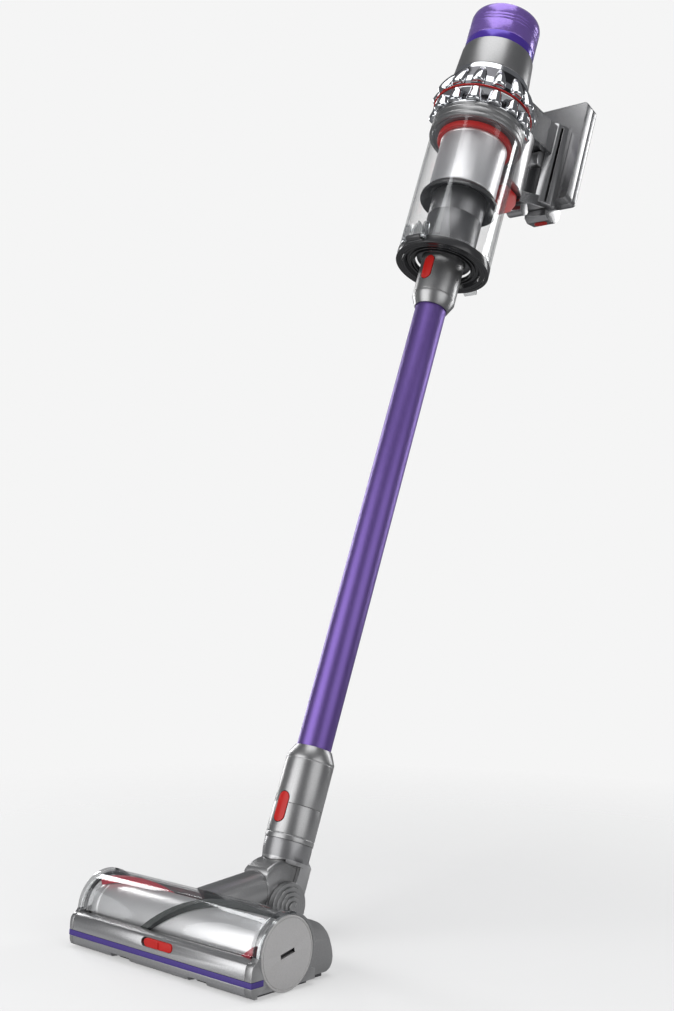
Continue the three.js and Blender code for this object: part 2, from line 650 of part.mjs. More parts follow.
function binFlap() {
  const plate = turned([
    [46, BIN_FLOOR], [BIN_R + 0.4, BIN_FLOOR], [BIN_R + 0.4, BIN_FLOOR + FLAP_RIM],
    [52, BIN_FLOOR + FLAP_RIM], [47.5, BIN_FLOOR + 7], [34, BIN_FLOOR + 7], [34, BIN_FLOOR + 4.4],
    [45, BIN_FLOOR + 4.4],
  ], 36);
  const knuckle = barX(3.5, -10, 10, HINGE_Y, HINGE_Z, 20);
  const web = box(-10, 10, HINGE_Y, -BIN_R + 3, BIN_FLOOR + 1, HINGE_Z + 3.4);
  return cut(join(plate, knuckle, web), barX(1.7, -30, 30, HINGE_Y, HINGE_Z, 16));
}
add(upright, 'bin_flap', binFlap(), BLACK);

function binCatch() {
  const y = BIN_R + 0.8;
  return prismX([
    [y, BIN_FLOOR + 2], [y + 7, BIN_FLOOR], [y + 7.5, BIN_FLOOR + 6], [y + 2.4, BIN_FLOOR + 24],
    [y, BIN_FLOOR + 24],
  ], -9, 9);
}
add(upright, 'bin_catch', binCatch(), CLEAR);

// ---- Cyclone ----
const DUCT_FOOT = BIN_FLOOR + 9;
add(upright, 'core_duct', turned([
  [CUFF_R + 0.5, DUCT_FOOT], [DUCT_R, DUCT_FOOT], [DUCT_R, SHROUD_FOOT - 4], [DUCT_R - 1.8, SHROUD_FOOT - 4],
  [DUCT_R - 1.8, DUCT_FOOT + 40], [CUFF_R + 0.5, DUCT_FOOT + 34],
]), DARK);
add(upright, 'shroud_skirt', turned([
  [DUCT_R - 4, SHROUD_FOOT - GAP], [DUCT_R - 4, SHROUD_FOOT - 4 + GAP], [DUCT_R + 4, SHROUD_FOOT - 4 + GAP],
  [SKIRT_R - 1.5, SHROUD_FOOT - 12], [SKIRT_R, SHROUD_FOOT - 10], [SHROUD_R + 1, SHROUD_FOOT - GAP],
]), BLACK);
add(upright, 'shroud', ring(SHROUD_R, SHROUD_R - 1.2, SHROUD_FOOT, SHROUD_TOP), NICKEL);
add(upright, 'shroud_ring',
  ring(SHROUD_R + 5, SHROUD_R - 0.6, SHROUD_TOP + GAP, SHROUD_TOP + 7), RED);
add(upright, 'cyclone_base',
  ring(BIN_R - BIN_WALL - 1, SHROUD_R + 1.5, SHROUD_TOP + 7 + GAP, BIN_TOP - 2), DARK);

function cycloneCones() {
  const plate = disc(SHROUD_R + 1.2, BIN_TOP - 7, BIN_TOP - 2);
  const cones = [];
  for (let i = 0; i < 12; i++) {
    const cone = turned([[0, SHROUD_FOOT + 24], [3, SHROUD_FOOT + 24], [7.4, BIN_TOP - 5],
      [0, BIN_TOP - 5]], 10);
    cones.push(cone.translate(31, 0, 0).rotateZ(i * Math.PI / 6));
  }
  return join(plate, ...cones);
}
add(upright, 'cyclone_cones', cycloneCones(), DARK);

const RING_Z = BIN_TOP + 20;
const BORE_R = 46;
function crown() {
  const body = turned([
    [BORE_R, BIN_TOP - 1.5], [BIN_R + 3, BIN_TOP - 1.5], [CROWN_R - 5, BIN_TOP + 6],
    [CROWN_R - 5, RING_Z - 2], [CROWN_R - 2.5, RING_Z + 2], [CROWN_R - 4, RING_Z + 14],
    [CROWN_R - 8, RING_Z + 26],
    [MOTOR_R + 1, CROWN_TOP], [MOTOR_R - 8, CROWN_TOP], [MOTOR_R - 8, CROWN_TOP - 4],
    [BORE_R, CROWN_TOP - 10],
  ]);
  const bosses = [];
  for (let i = 0; i < CYCLONES; i++) {
    const angle = (i + 0.5) * 2 * Math.PI / CYCLONES;
    const low = turned([[0, -8], [4.6, -8], [6.8, 0], [7, 9], [0, 9]], 6);
    const high = turned([[0, -14], [6, -14], [4, 14], [0, 17]], 6);
    bosses.push(low.rotateY(-0.12).translate(CROWN_R - 6.6, 0, BIN_TOP + 9).rotateZ(angle));
    bosses.push(high.rotateY(-0.34).translate(CROWN_R - 9.5, 0, RING_Z + 20).rotateZ(angle));
  }
  const groove = ring(CROWN_R + 9, CROWN_R - 4.4, RING_Z - 1.6, RING_Z + 1.6);
  return cut(join(body, ...bosses), groove);
}
add(upright, 'cyclone_collar', crown(), CHROME);
add(upright, 'crown_ring', ring(CROWN_R, CROWN_R - 4, RING_Z - 1.3, RING_Z + 1.3), RED);

// ---- Motor, filter and display ----
add(upright, 'motor_housing', turned([
  [MOTOR_R - 2.5, CROWN_TOP + GAP], [MOTOR_R, CROWN_TOP + GAP], [MOTOR_TOP_R, MOTOR_TOP],
  [MOTOR_TOP_R - 2.5, MOTOR_TOP],
]), GUNMETAL);
add(upright, 'motor_stator', ring(24, 9.2, CROWN_TOP - 22, CROWN_TOP + 26, 28), COPPER);
add(upright, 'rear_bearing', ring(7, 2.62, CROWN_TOP + 27, CROWN_TOP + 32, 24), STEEL);
add(upright, 'control_board', ring(MOTOR_TOP_R - 3, 26, MOTOR_TOP - 7, MOTOR_TOP - 5.4, 28), BOARD);

function rotor() {
  const shaft = turned([
    [0, CROWN_TOP - 46], [2.5, CROWN_TOP - 46], [2.5, CROWN_TOP - 41], [7, CROWN_TOP - 41],
    [22.5, CROWN_TOP - 38], [22.5, CROWN_TOP - 36], [7, CROWN_TOP - 28], [7, CROWN_TOP - 24],
    [8.5, CROWN_TOP - 20], [8.5, CROWN_TOP + 24], [2.5, CROWN_TOP + 25], [2.5, CROWN_TOP + 34],
    [0, CROWN_TOP + 34],
  ], 24);
  const blades = [];
  for (let i = 0; i < 9; i++) {
    const blade = box(6, 21.5, -0.6, 0.6, CROWN_TOP - 38, CROWN_TOP - 27);
    blades.push(blade.rotateZ(i * 2 * Math.PI / 9));
  }
  return join(shaft, ...blades);
}
add(upright, 'motor_rotor', rotor(), STEEL);

const LENS_R = 17;
const LENS_Y = 4;
const MODE_Y = -19;
function displayHousing() {
  const cup = turned([
    [0, CAP_TOP - 5.2], [DISPLAY_R - 2.5, CAP_TOP - 5.2], [DISPLAY_R - 2.5, MOTOR_TOP - 3],
    [MOTOR_TOP_R - 2.8, MOTOR_TOP - 3], [MOTOR_TOP_R - 2.8, MOTOR_TOP - 0.4], [DISPLAY_R, MOTOR_TOP - 0.4],
    [DISPLAY_R, CAP_TOP - 1.2], [0, CAP_TOP - 1.2],
  ]);
  const lens = disc(LENS_R + GAP, CAP_TOP - 3.2, CAP_TOP, 32).translate(0, LENS_Y, 0);
  const button = disc(3.4, CAP_TOP - 9, CAP_TOP, 20).translate(0, MODE_Y, 0);
  return cut(cup, lens, button);
}
add(upright, 'display_housing', displayHousing(), BLACK);
add(upright, 'display_lens', disc(LENS_R, CAP_TOP - 2.9, CAP_TOP - 1.1, 32).translate(0, LENS_Y, 0), BLACK);
add(upright, 'mode_button', disc(3, CAP_TOP - 4.6, CAP_TOP - 0.2, 20).translate(0, MODE_Y, 0), NICKEL);
add(upright, 'filter_cap', turned([
  [FILTER_R - 2.2, MOTOR_TOP + GAP], [FILTER_R, MOTOR_TOP + GAP], [FILTER_R, CAP_TOP - 3],
  [FILTER_R - 2, CAP_TOP],
  [DISPLAY_R + 0.6, CAP_TOP], [DISPLAY_R + 0.6, CAP_TOP - 2.4], [FILTER_R - 2.2, CAP_TOP - 2.4],
]), CLEAR_PURPLE);

function pleats() {
  const count = 30;
  const outline = [];
  for (let i = 0; i < count * 2; i++) {
    const angle = i * Math.PI / count;
    const r = i % 2 ? FILTER_R - 8 : FILTER_R - 2.8;
    outline.push([r * Math.cos(angle), r * Math.sin(angle)]);
  }
  const hole = disc(DISPLAY_R + 2, MOTOR_TOP, CAP_TOP, 30);
  return cut(prismZ(outline, MOTOR_TOP + 3, CAP_TOP - 5), hole);
}
add(upright, 'pleated_filter', pleats(), PAPER);

// ---- Handle ----
function armLine(y) {
  return ARM_FOOT + ARM_SLOPE * (y - RAIL_IN - 16.1);
}

// Room for the crown and the motor housing, which the handle fits against
function bodySpace() {
  const shoulder = (CROWN_R + MOTOR_R) / 2 + 0.5;
  return turned([
    [0, BIN_TOP - 1.8], [BIN_R + 6, BIN_TOP - 1.8], [CROWN_R + 3.5, BIN_TOP + 6],
    [CROWN_R + 3.5, RING_Z + 12],
    [CROWN_R - 2.7, RING_Z + 26], [shoulder, CROWN_TOP - 6], [MOTOR_R + 3, CROWN_TOP],
    [MOTOR_R + GAP, CROWN_TOP + 2],
    [MOTOR_TOP_R + GAP, MOTOR_TOP], [0, MOTOR_TOP],
  ]);
}

function rail() {
  const plan = [
    [-RAIL_HALF, RAIL_IN], [RAIL_HALF, RAIL_IN], [RAIL_HALF, RAIL_OUT - 16], [RAIL_HALF - 6, RAIL_OUT],
    [6 - RAIL_HALF, RAIL_OUT], [-RAIL_HALF, RAIL_OUT - 16],
  ];
  const foot = BIN_TOP - 36;
  const side = [
    [RAIL_IN, foot], [RAIL_OUT, foot], [RAIL_OUT, armLine(RAIL_OUT) - GAP],
    [RAIL_IN, armLine(RAIL_IN) - GAP],
  ];
  return cut(meet(prismZ(plan, foot, CROWN_TOP), prismX(side, -30, 30)), bodySpace());
}
add(upright, 'bin_rail', rail(), NICKEL);

const LOW_ARM = BIN_TOP - 44;
function gripBody() {
  const column = prismZ([
    [-10, GRIP_IN], [10, GRIP_IN], [17, GRIP_IN + 5], [GRIP_HALF, GRIP_OUT - 8], [GRIP_HALF, GRIP_OUT],
    [-GRIP_HALF, GRIP_OUT], [-GRIP_HALF, GRIP_OUT - 8], [-17, GRIP_IN + 5],
  ], GRIP_FOOT, GRIP_TOP);
  const upper = prismX([
    [30, armLine(30)], [GRIP_OUT - 1, armLine(GRIP_OUT - 1)], [GRIP_OUT - 1, GRIP_TOP - 2],
    [30, armLine(30) + ARM_THICK],
  ], -ARM_HALF, ARM_HALF);
  const lower = prismX([
    [RAIL_OUT + GAP, LOW_ARM], [GRIP_OUT - 2, LOW_ARM + 26], [GRIP_OUT - 2, LOW_ARM + 42],
    [RAIL_OUT + GAP, LOW_ARM + 16],
  ], -14, 14);
  const boss = barX(9, -11, 11, RAIL_OUT + 16, LOW_ARM, 20);
  const shell = join(column, upper, lower, boss);
  const hollow = box(-GRIP_HALF + 4, GRIP_HALF - 4, GRIP_IN + 9, GRIP_OUT - 3, GRIP_FOOT + 3, GRIP_TOP - 4);
  const tunnel = prismX([
    [20, armLine(20) + 6], [GRIP_IN + 12, armLine(GRIP_IN) + 6], [GRIP_IN + 12, armLine(GRIP_IN) + 34],
    [20, armLine(20) + 34],
  ], -ARM_HALF + 3, ARM_HALF - 3);
  const trigger = box(-8, 8, GRIP_IN - 20, GRIP_IN + 14, TRIGGER_Z - 12.6, TRIGGER_Z + 12.6);
  return cut(shell, hollow, tunnel, trigger, bodySpace());
}
const grip = gripBody();
add(upright, 'grip_left', meet(grip, box(-90, -GAP / 2, 0, 300, 0, 1300)), GUNMETAL);
add(upright, 'grip_right', meet(grip, box(GAP / 2, 90, 0, 300, 0, 1300)), GUNMETAL);

function gripInsert() {
  const plan = [
    [9.6, GRIP_IN - GAP], [7.5, GRIP_IN - 2.8], [3.5, GRIP_IN - 4.4],
    [-3.5, GRIP_IN - 4.4], [-7.5, GRIP_IN - 2.8], [-9.6, GRIP_IN - GAP],
  ].reverse();
  return prismZ(plan, GRIP_FOOT + 9, TRIGGER_Z - 13.5);
}
add(upright, 'grip_insert', gripInsert(), BLACK);

const TRIGGER_TRAVEL = 5;
function trigger() {
  const y = GRIP_IN;
  return prismX([
    [y - 8, TRIGGER_Z + 9], [y - 11, TRIGGER_Z + 3], [y - 10.4, TRIGGER_Z - 4], [y - 8, TRIGGER_Z - 11],
    [y + 6, TRIGGER_Z - 12], [y + 6, TRIGGER_Z + 12], [y - 2, TRIGGER_Z + 12],
  ].reverse(), -7.4, 7.4);
}
add(upright, 'trigger', trigger(), NICKEL);

function binLever() {
  const y = RAIL_IN + 4.1;
  const z = BIN_TOP - 36 - GAP;
  return prismX([
    [y, z - 1], [y + 28, z - 1], [y + 30, z - 15], [y + 24, z - 28], [y + 13, z - 38], [y, z - 42],
  ].reverse(), -11, 11);
}
add(upright, 'bin_lever', binLever(), RED);

// ---- Battery ----
const PACK_IN = GRIP_OUT + GAP;
const PACK_OUT = PACK_IN + BATTERY_THICK;
const PACK_MID = (PACK_IN + PACK_OUT) / 2;
const PACK_TOP = BATTERY_FOOT + BATTERY_LENGTH;
const BASE_Z = GRIP_FOOT - 2 * GAP;
const BUTTON_TILT = Math.atan2(5, 16);

// Rounded rectangle across X and Z, extruded along Y
function slab(half, foot, top, radius, from, to) {
  const shape = new THREE.Shape();
  shape.moveTo(-half + radius, foot);
  shape.lineTo(half - radius, foot);
  shape.absarc(half - radius, foot + radius, radius, -Math.PI / 2, 0);
  shape.lineTo(half, top - radius);
  shape.absarc(half - radius, top - radius, radius, 0, Math.PI / 2);
  shape.lineTo(-half + radius, top);
  shape.absarc(-half + radius, top - radius, radius, Math.PI / 2, Math.PI);
  shape.lineTo(-half, foot + radius);
  shape.absarc(-half + radius, foot + radius, radius, Math.PI, Math.PI * 1.5);
  const solid = new THREE.ExtrudeGeometry(shape, { depth: to - from, bevelEnabled: false,
    curveSegments: 5 });
  return solid.rotateX(Math.PI / 2).translate(0, to, 0);
}

function cellRoom() {
  return box(
    -BATTERY_HALF + 2.6, BATTERY_HALF - 2.6, PACK_IN + 2.5, PACK_OUT - 2.5,
    BATTERY_FOOT + 6, PACK_TOP - 6);
}

function buttonSpace(grow, depth) {
  const length = 18 + 2 * grow;
  const pocket = pill(length, 9 + 2 * grow, depth, false);
  // laid flat, then tilted to face along the sloping underside
  pocket.rotateX(Math.PI / 2).translate(0, 0, depth);
  return pocket;
}

function buttonPlace(geometry) {
  return geometry.rotateX(BUTTON_TILT).translate(0, PACK_IN + 13, BASE_Z - 8.5);
}

function batteryCase() {
  const plate = slab(BATTERY_HALF, BATTERY_FOOT, PACK_TOP, 6, PACK_IN, PACK_MID - GAP / 2);
  const base = prismX([
    [PACK_IN - 5, BASE_Z], [PACK_IN - 3, BASE_Z - 8], [PACK_IN + 5, BASE_Z - 11],
    [PACK_OUT - 7, BASE_Z - 6], [PACK_OUT, BASE_Z + 4], [PACK_OUT, BATTERY_FOOT - GAP],
    [PACK_MID - GAP / 2, BATTERY_FOOT - GAP], [PACK_MID - GAP / 2, BATTERY_FOOT + 8],
    [PACK_IN, BATTERY_FOOT + 8], [PACK_IN, BASE_Z],
  ].reverse(), -16, 16);
  const pocket = buttonPlace(buttonSpace(GAP, 10.5).translate(0, 0, -4.2));
  return cut(join(plate, base), cellRoom(), pocket);
}
add(upright, 'battery_case', batteryCase(), GUNMETAL);

function batteryCover() {
  const plate = slab(BATTERY_HALF, BATTERY_FOOT, PACK_TOP, 6, PACK_MID + GAP / 2, PACK_OUT);
  return cut(plate, cellRoom());
}
add(upright, 'battery_cover', batteryCover(), NICKEL);

function cellPack() {
  const cells = [];
  const foot = BATTERY_FOOT + 7.5;
  for (let row = 0; row < 2; row++) {
    for (let column = 0; column < 4 - row; column++) {
      const x = (column - 1.5 + row / 2) * (2 * CELL_R + 0.3);
      const z = foot + row * (CELL_LENGTH + 1.5);
      cells.push(disc(CELL_R, z, z + CELL_LENGTH, 14).translate(x, PACK_MID, 0));
    }
  }
  const width = 3.2 * CELL_R;
  const tab = box(-width, width, PACK_MID - 3, PACK_MID + 3, foot + CELL_LENGTH - 0.6,
    foot + CELL_LENGTH + 2.1);
  return join(...cells, tab);
}
add(upright, 'cell_pack', cellPack(), CELL);
add(upright, 'battery_button', buttonPlace(buttonSpace(0, 4).translate(0, 0, -1.6)), RED);

// ---- Origin: on the floor, under the middle of the whole machine ----
vacuum.updateMatrixWorld(true);
const bounds = new THREE.Box3().setFromObject(vacuum, true);
const middle = bounds.getCenter(new THREE.Vector3());
vacuum.position.set(-middle.x, -middle.y, -bounds.min.z);
vacuum.updateMatrixWorld(true);

export default vacuum;
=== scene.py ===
import math

import bmesh
import bpy
from mathutils import Matrix, Vector


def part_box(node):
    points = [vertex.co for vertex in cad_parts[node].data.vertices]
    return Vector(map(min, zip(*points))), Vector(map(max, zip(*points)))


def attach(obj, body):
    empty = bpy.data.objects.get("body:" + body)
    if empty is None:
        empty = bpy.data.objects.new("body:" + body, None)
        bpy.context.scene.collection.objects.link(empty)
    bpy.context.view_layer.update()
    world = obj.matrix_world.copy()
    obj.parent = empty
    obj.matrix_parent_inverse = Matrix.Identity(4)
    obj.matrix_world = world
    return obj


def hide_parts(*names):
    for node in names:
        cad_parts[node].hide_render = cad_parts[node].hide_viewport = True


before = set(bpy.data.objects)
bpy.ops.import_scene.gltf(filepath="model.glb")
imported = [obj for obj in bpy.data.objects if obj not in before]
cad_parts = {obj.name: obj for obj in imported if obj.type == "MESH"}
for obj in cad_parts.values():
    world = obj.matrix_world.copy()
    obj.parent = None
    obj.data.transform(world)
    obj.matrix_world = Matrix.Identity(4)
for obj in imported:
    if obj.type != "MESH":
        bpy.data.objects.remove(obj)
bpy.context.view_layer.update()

# ---- Studio: camera, lights and floor ----
# A cordless stick vacuum stands on a pale floor with its wand leaning back to the user's side.
# One large soft light stands at the camera's left, one at its right and one overhead, and two
# narrow ones stand behind it to light its edges.
MM = 0.001
brush_low, brush_high = (Vector(corner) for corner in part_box("brush_core"))
HEAD = Vector((0.0, (brush_low.y + brush_high.y) / 2, 0.0))  # floor point under the brush bar's axis

camera_data = bpy.data.cameras.new("studio_camera")
camera = bpy.data.objects.new("studio_camera", camera_data)
bpy.context.scene.collection.objects.link(camera)
azimuth, elevation, roll = math.radians(41.05), math.radians(-3.4), math.radians(1.43)
back = Vector((
    math.sin(azimuth) * math.cos(elevation), -math.cos(azimuth) * math.cos(elevation), math.sin(elevation)))
aim = HEAD + Vector((-11.89, 208.42, 446.45)) * MM
CAMERA_DISTANCE = 1446.7
right = (-back).cross(Vector((0, 0, 1))).normalized()
up = right.cross(-back)
turned_right = right * math.cos(roll) + up * math.sin(roll)
turned_up = up * math.cos(roll) - right * math.sin(roll)
camera.matrix_world = Matrix.Translation(aim + back * CAMERA_DISTANCE * MM) @ Matrix(
    (turned_right, turned_up, back)).transposed().to_4x4()
camera_data.sensor_fit = "VERTICAL"
camera_data.sensor_height = 36.0
camera_data.lens = 47.360831
camera_data.clip_end = 50
bpy.context.scene.camera = camera
bpy.context.scene.view_settings.view_transform = "Standard"

world = bpy.data.worlds.new("studio")
bpy.context.scene.world = world
world.use_nodes = True
sky = world.node_tree
fill = sky.nodes["Background"]
fill.inputs["Color"].default_value = (0.93, 0.95, 1.0, 1)
fill.inputs["Strength"].default_value = 0.16
paper = sky.nodes.new("ShaderNodeBackground")
paper.inputs["Color"].default_value = (0.913, 0.913, 0.913, 1)
choose = sky.nodes.new("ShaderNodeMixShader")
path = sky.nodes.new("ShaderNodeLightPath")
sky.links.new(path.outputs["Is Camera Ray"], choose.inputs[0])
sky.links.new(fill.outputs[0], choose.inputs[1])
sky.links.new(paper.outputs[0], choose.inputs[2])
sky.links.new(choose.outputs[0], sky.nodes["World Output"].inputs[0])


def softbox(name, place, size, power, tint=(1, 1, 1)):
    light = bpy.data.lights.new(name, "AREA")
    light.shape, light.size, light.size_y = "RECTANGLE", size[0], size[1]
    light.energy, light.color = power, tint
    lamp = bpy.data.objects.new(name, light)
    bpy.context.scene.collection.objects.link(lamp)
    middle = Vector((0, 0, 0.55))
    facing_middle = (Vector(place) - middle).to_track_quat("Z", "Y")
    lamp.matrix_world = Matrix.Translation(place) @ facing_middle.to_matrix().to_4x4()


softbox("key", (-0.5, -2.4, 0.95), (2.2, 2.7), 52)
softbox("fill_right", (2.6, -0.4, 0.9), (2.2, 2.3), 28)
softbox("rim_behind", (0.8, 2.3, 0.9), (0.5, 1.8), 18)
softbox("top", (0.2, -0.2, 2.9), (1.8, 1.8), 28)
softbox("rim_left", (-2.4, 0.5, 0.9), (0.5, 1.8), 22)


# ---- Wand tube ----
# A thin drawn aluminium tube, anodised purple, that carries the air from the neck up to the bin.
# It is pressed into the two moulded cuffs at its ends.
pin_low, pin_high = (Vector(corner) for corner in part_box("pivot_pin"))
LEAN = math.radians(20.55)
WAND = Matrix.Translation((pin_low + pin_high) / 2) @ Matrix.Rotation(-LEAN, 4, "X")


class Signal:
    """A node's output. Sums on it add Math nodes."""

    def __init__(self, finish, socket):
        self.finish = finish
        self.socket = socket

    def maths(self, operation, a, b):
        return self.finish.node("ShaderNodeMath", {"operation": operation}, {0: a, 1: b})

    def __add__(self, other):
        return self.maths("ADD", self, other)

    def __sub__(self, other):
        return self.maths("SUBTRACT", self, other)

    def __rsub__(self, other):
        return self.maths("SUBTRACT", other, self)

    def __mul__(self, other):
        return self.maths("MULTIPLY", self, other)

    def __pow__(self, other):
        return self.maths("POWER", self, other)

    __radd__ = __add__
    __rmul__ = __mul__


class Finish:
    """One material: a Principled shader and what feeds it."""

    def __init__(self, name, **sockets):
        self.material = bpy.data.materials.new(name)
        self.material.use_nodes = True
        self.tree = self.material.node_tree
        self.shader = self.tree.nodes["Principled BSDF"]
        self.place = self.node("ShaderNodeTexCoord", output="Object")
        self.set(**sockets)

    def set(self, **sockets):
        for name, value in sockets.items():
            self.feed(self.shader.inputs[name.replace("_", " ")], value)

    def feed(self, socket, value):
        if isinstance(value, Signal):
            self.tree.links.new(value.socket, socket)
        else:
            socket.default_value = value

    def node(self, kind, settings=None, values=None, output=0):
        node = self.tree.nodes.new(kind)
        for key, value in (settings or {}).items():
            setattr(node, key, value)
        for key, value in (values or {}).items():
            self.feed(node.inputs[key], value)
        return Signal(self, node.outputs[output])

    def noise(self, scale, detail=2.0, stretch=None):
        place = self.place
        if stretch:
            place = self.node("ShaderNodeMapping", None, {
                "Vector": place, "Rotation": (LEAN, 0, 0), "Scale": stretch})
        return self.node("ShaderNodeTexNoise", None, {"Vector": place, "Scale": scale, "Detail": detail})

    def mix(self, factor, a, b):
        return self.node("ShaderNodeMix", {"data_type": "RGBA"}, {0: factor, 6: a, 7: b}, output=2)

    def range(self, signal, low, high):
        return self.node("ShaderNodeMapRange", None, {"Value": signal, 1: low, 2: high})

    def bump(self, height, strength, distance):
        self.set(Normal=self.node("ShaderNodeBump", None, {
            "Strength": strength, "Distance": distance, "Height": height}))


def rgb(r, g, b):
    return (r, g, b, 1)


def alone(piece):
    bpy.ops.object.select_all(action="DESELECT")
    piece.select_set(True)
    bpy.context.view_layer.objects.active = piece


def smoothed(piece, bevel, segments=3, angle=33):
    alone(piece)
    if bevel:
        edge = piece.modifiers.new("edges", "BEVEL")
        edge.width, edge.segments = bevel * MM, segments
        edge.limit_method, edge.angle_limit = "ANGLE", math.radians(angle)
        bpy.ops.object.modifier_apply(modifier=edge.name)
    bpy.ops.object.shade_smooth_by_angle(angle=math.radians(angle))
    return piece


def placed(piece, place):
    alone(piece)
    piece.matrix_world = place @ piece.matrix_world
    bpy.ops.object.transform_apply(location=True, rotation=True, scale=True)
    return piece


def turned(name, outline, place, bevel=0.35, sides=96):
    """Spins a [radius, height] outline in millimetres round the Z axis."""
    bpy.ops.object.select_all(action="DESELECT")
    bpy.ops.mesh.primitive_plane_add(size=MM)
    piece = bpy.context.object
    piece.name = piece.data.name = name
    bpy.ops.object.mode_set(mode="EDIT")
    bpy.ops.mesh.select_mode(type="VERT")
    bpy.ops.mesh.select_all(action="SELECT")
    bpy.ops.mesh.merge(type="CENTER")
    bpy.ops.transform.translate(value=(outline[0][0] * MM, 0, outline[0][1] * MM))
    path = outline if outline[0][0] == 0 and outline[-1][0] == 0 else outline + outline[:1]
    for (r0, z0), (r1, z1) in zip(path, path[1:]):
        step = ((r1 - r0) * MM, 0, (z1 - z0) * MM)
        bpy.ops.mesh.extrude_vertices_move(TRANSFORM_OT_translate={"value": step})
    bpy.ops.mesh.select_all(action="SELECT")
    bpy.ops.mesh.remove_doubles(threshold=1e-6)
    bpy.ops.mesh.spin(steps=sides, angle=2 * math.pi, center=(0, 0, 0), axis=(0, 0, 1))
    bpy.ops.mesh.select_all(action="SELECT")
    bpy.ops.mesh.remove_doubles(threshold=1e-6)
    bpy.ops.mesh.normals_make_consistent(inside=False)
    bpy.ops.object.mode_set(mode="OBJECT")
    placed(piece, place)
    return smoothed(piece, bevel)


def fitted(piece, body, node, finish):
    """Gives a finished piece its material, its body and the node it stands for."""
    piece.data.materials.clear()
    piece.data.materials.append(finish.material)
    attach(piece, body)
    if node:
        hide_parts(node)
    return piece


anodised = Finish("anodised_purple", Metallic=0.85)
drawn = anodised.noise(9.0, 4.0, (60.0, 60.0, 1.0))
cloudy = anodised.noise(14.0, 2.0)
anodised.set(
    Base_Color=anodised.mix(drawn * 0.6 + cloudy * 0.4, rgb(0.12, 0.07, 0.28), rgb(0.19, 0.12, 0.38)),
    Roughness=0.38 + drawn * 0.1)
anodised.bump(drawn, 0.08, 0.0002)
fitted(turned("tube_anodised", [[16.7, 116], [18.3, 116], [18.3, 711], [16.7, 711]], WAND, 0.3),
       "wand", "wand_tube", anodised)


# ---- Cuffs, neck collar and release buttons ----
# Satin grey mouldings with metal flake in the resin. The lower cuff plugs onto the neck collar and
# the upper one into the bin, and a red button in the front of each joint lets them apart.
def satin(name, dark, light, roughness, metallic, grain=900.0):
    finish = Finish(name, Metallic=metallic)
    flake = finish.noise(grain, 2.0)
    cloud = finish.noise(11.0, 3.0)
    # Base colour is mixed up to a quarter of the way towards pale grey on sharp convex edges (pointiness).
    convex_edge_lightening = finish.range(finish.node("ShaderNodeNewGeometry", output="Pointiness"), 0.52, 0.6)
    base = finish.mix(finish.range(flake, 0.3, 0.7) * 0.5 + cloud * 0.5, dark, light)
    finish.set(
        Base_Color=finish.mix(convex_edge_lightening * 0.25, base, rgb(0.75, 0.75, 0.76)),
        Roughness=roughness + flake * 0.05 + cloud * 0.08 - 0.06)
    finish.bump(flake, 0.02, 0.0001)
    return finish


grey = satin("satin_grey", rgb(0.25, 0.25, 0.252), rgb(0.34, 0.34, 0.342), 0.34, 0.9)
red = Finish("signal_red", Specular_IOR_Level=0.35)
speck = red.noise(700.0, 3.0)
red.set(
    Base_Color=red.mix(red.noise(30.0), rgb(0.42, 0.007, 0.005), rgb(0.55, 0.012, 0.008)),
    Roughness=0.36 + speck * 0.12)
red.bump(speck, 0.08, 0.0001)


def pill(name, length, width, depth, place):
    """A block with round ends, its length along Z and its front towards -Y."""
    bpy.ops.object.select_all(action="DESELECT")
    bpy.ops.mesh.primitive_cube_add(size=1, scale=(width * MM, depth * MM, length * MM))
    piece = bpy.context.object
    piece.name = piece.data.name = name
    bpy.ops.object.transform_apply(location=True, rotation=True, scale=True)
    bpy.ops.object.mode_set(mode="EDIT")
    bpy.ops.mesh.select_mode(type="EDGE")
    bpy.ops.mesh.select_all(action="DESELECT")
    mesh = bmesh.from_edit_mesh(piece.data)
    for edge in mesh.edges:
        a, b = (v.co for v in edge.verts)
        edge.select = abs(a.y - b.y) > depth * MM / 2
    bmesh.update_edit_mesh(piece.data)
    bpy.ops.mesh.bevel(offset=width * MM * 0.4999, segments=12)
    bpy.ops.mesh.select_all(action="SELECT")
    bpy.ops.mesh.remove_doubles(threshold=1e-6)
    bpy.ops.object.mode_set(mode="OBJECT")
    return placed(piece, place)


def carved(piece, cutter, operation="DIFFERENCE"):
    alone(piece)
    tool = piece.modifiers.new("shape", "BOOLEAN")
    tool.operation, tool.solver, tool.object = operation, "EXACT", cutter
    bpy.ops.object.modifier_apply(modifier=tool.name)
    bpy.data.objects.remove(cutter)
    return piece


def painted(piece, finish, test, place=WAND):
    """Gives the faces whose middle passes the test, in millimetres, a second material."""
    piece.data.materials.append(finish.material)
    to_local = place.inverted()
    for face in piece.data.polygons:
        if test((to_local @ face.center) / MM):
            face.material_index = len(piece.data.materials) - 1
    return piece


LOW_PILL, HIGH_PILL = 93, 735  # heights of the two release buttons along the wand
PILL_LENGTH, PILL_WIDTH, POCKET_EXTRA = 31, 13, 1.6
collar = turned("collar_moulding", [
    [16.3, 62], [25.5, 62], [25.5, 66.6], [25.1, 67], [25.1, 67.5], [25.5, 67.9], [25.5, 98], [19.5, 98],
    [19.5, 115], [16.3, 115]], WAND, 0.25)
lower = turned("lower_cuff_moulding", [
    [19.8, 98.3], [25.5, 98.3], [25.5, 144.6], [25.2, 145], [25.5, 145.4], [25.5, 148],
    [19.9, 160], [18.6, 160], [18.6, 116], [19.8, 116]], WAND, 0.3)
upper = turned("upper_cuff_moulding", [
    [18.6, 691], [19.9, 691], [25.5, 703], [25.5, 706], [25.2, 706.4], [25.5, 706.8],
    [25.5, 752], [25.2, 753], [25.2, 784], [18.3, 784], [18.3, 711.3], [18.6, 711.3]], WAND, 0.3)
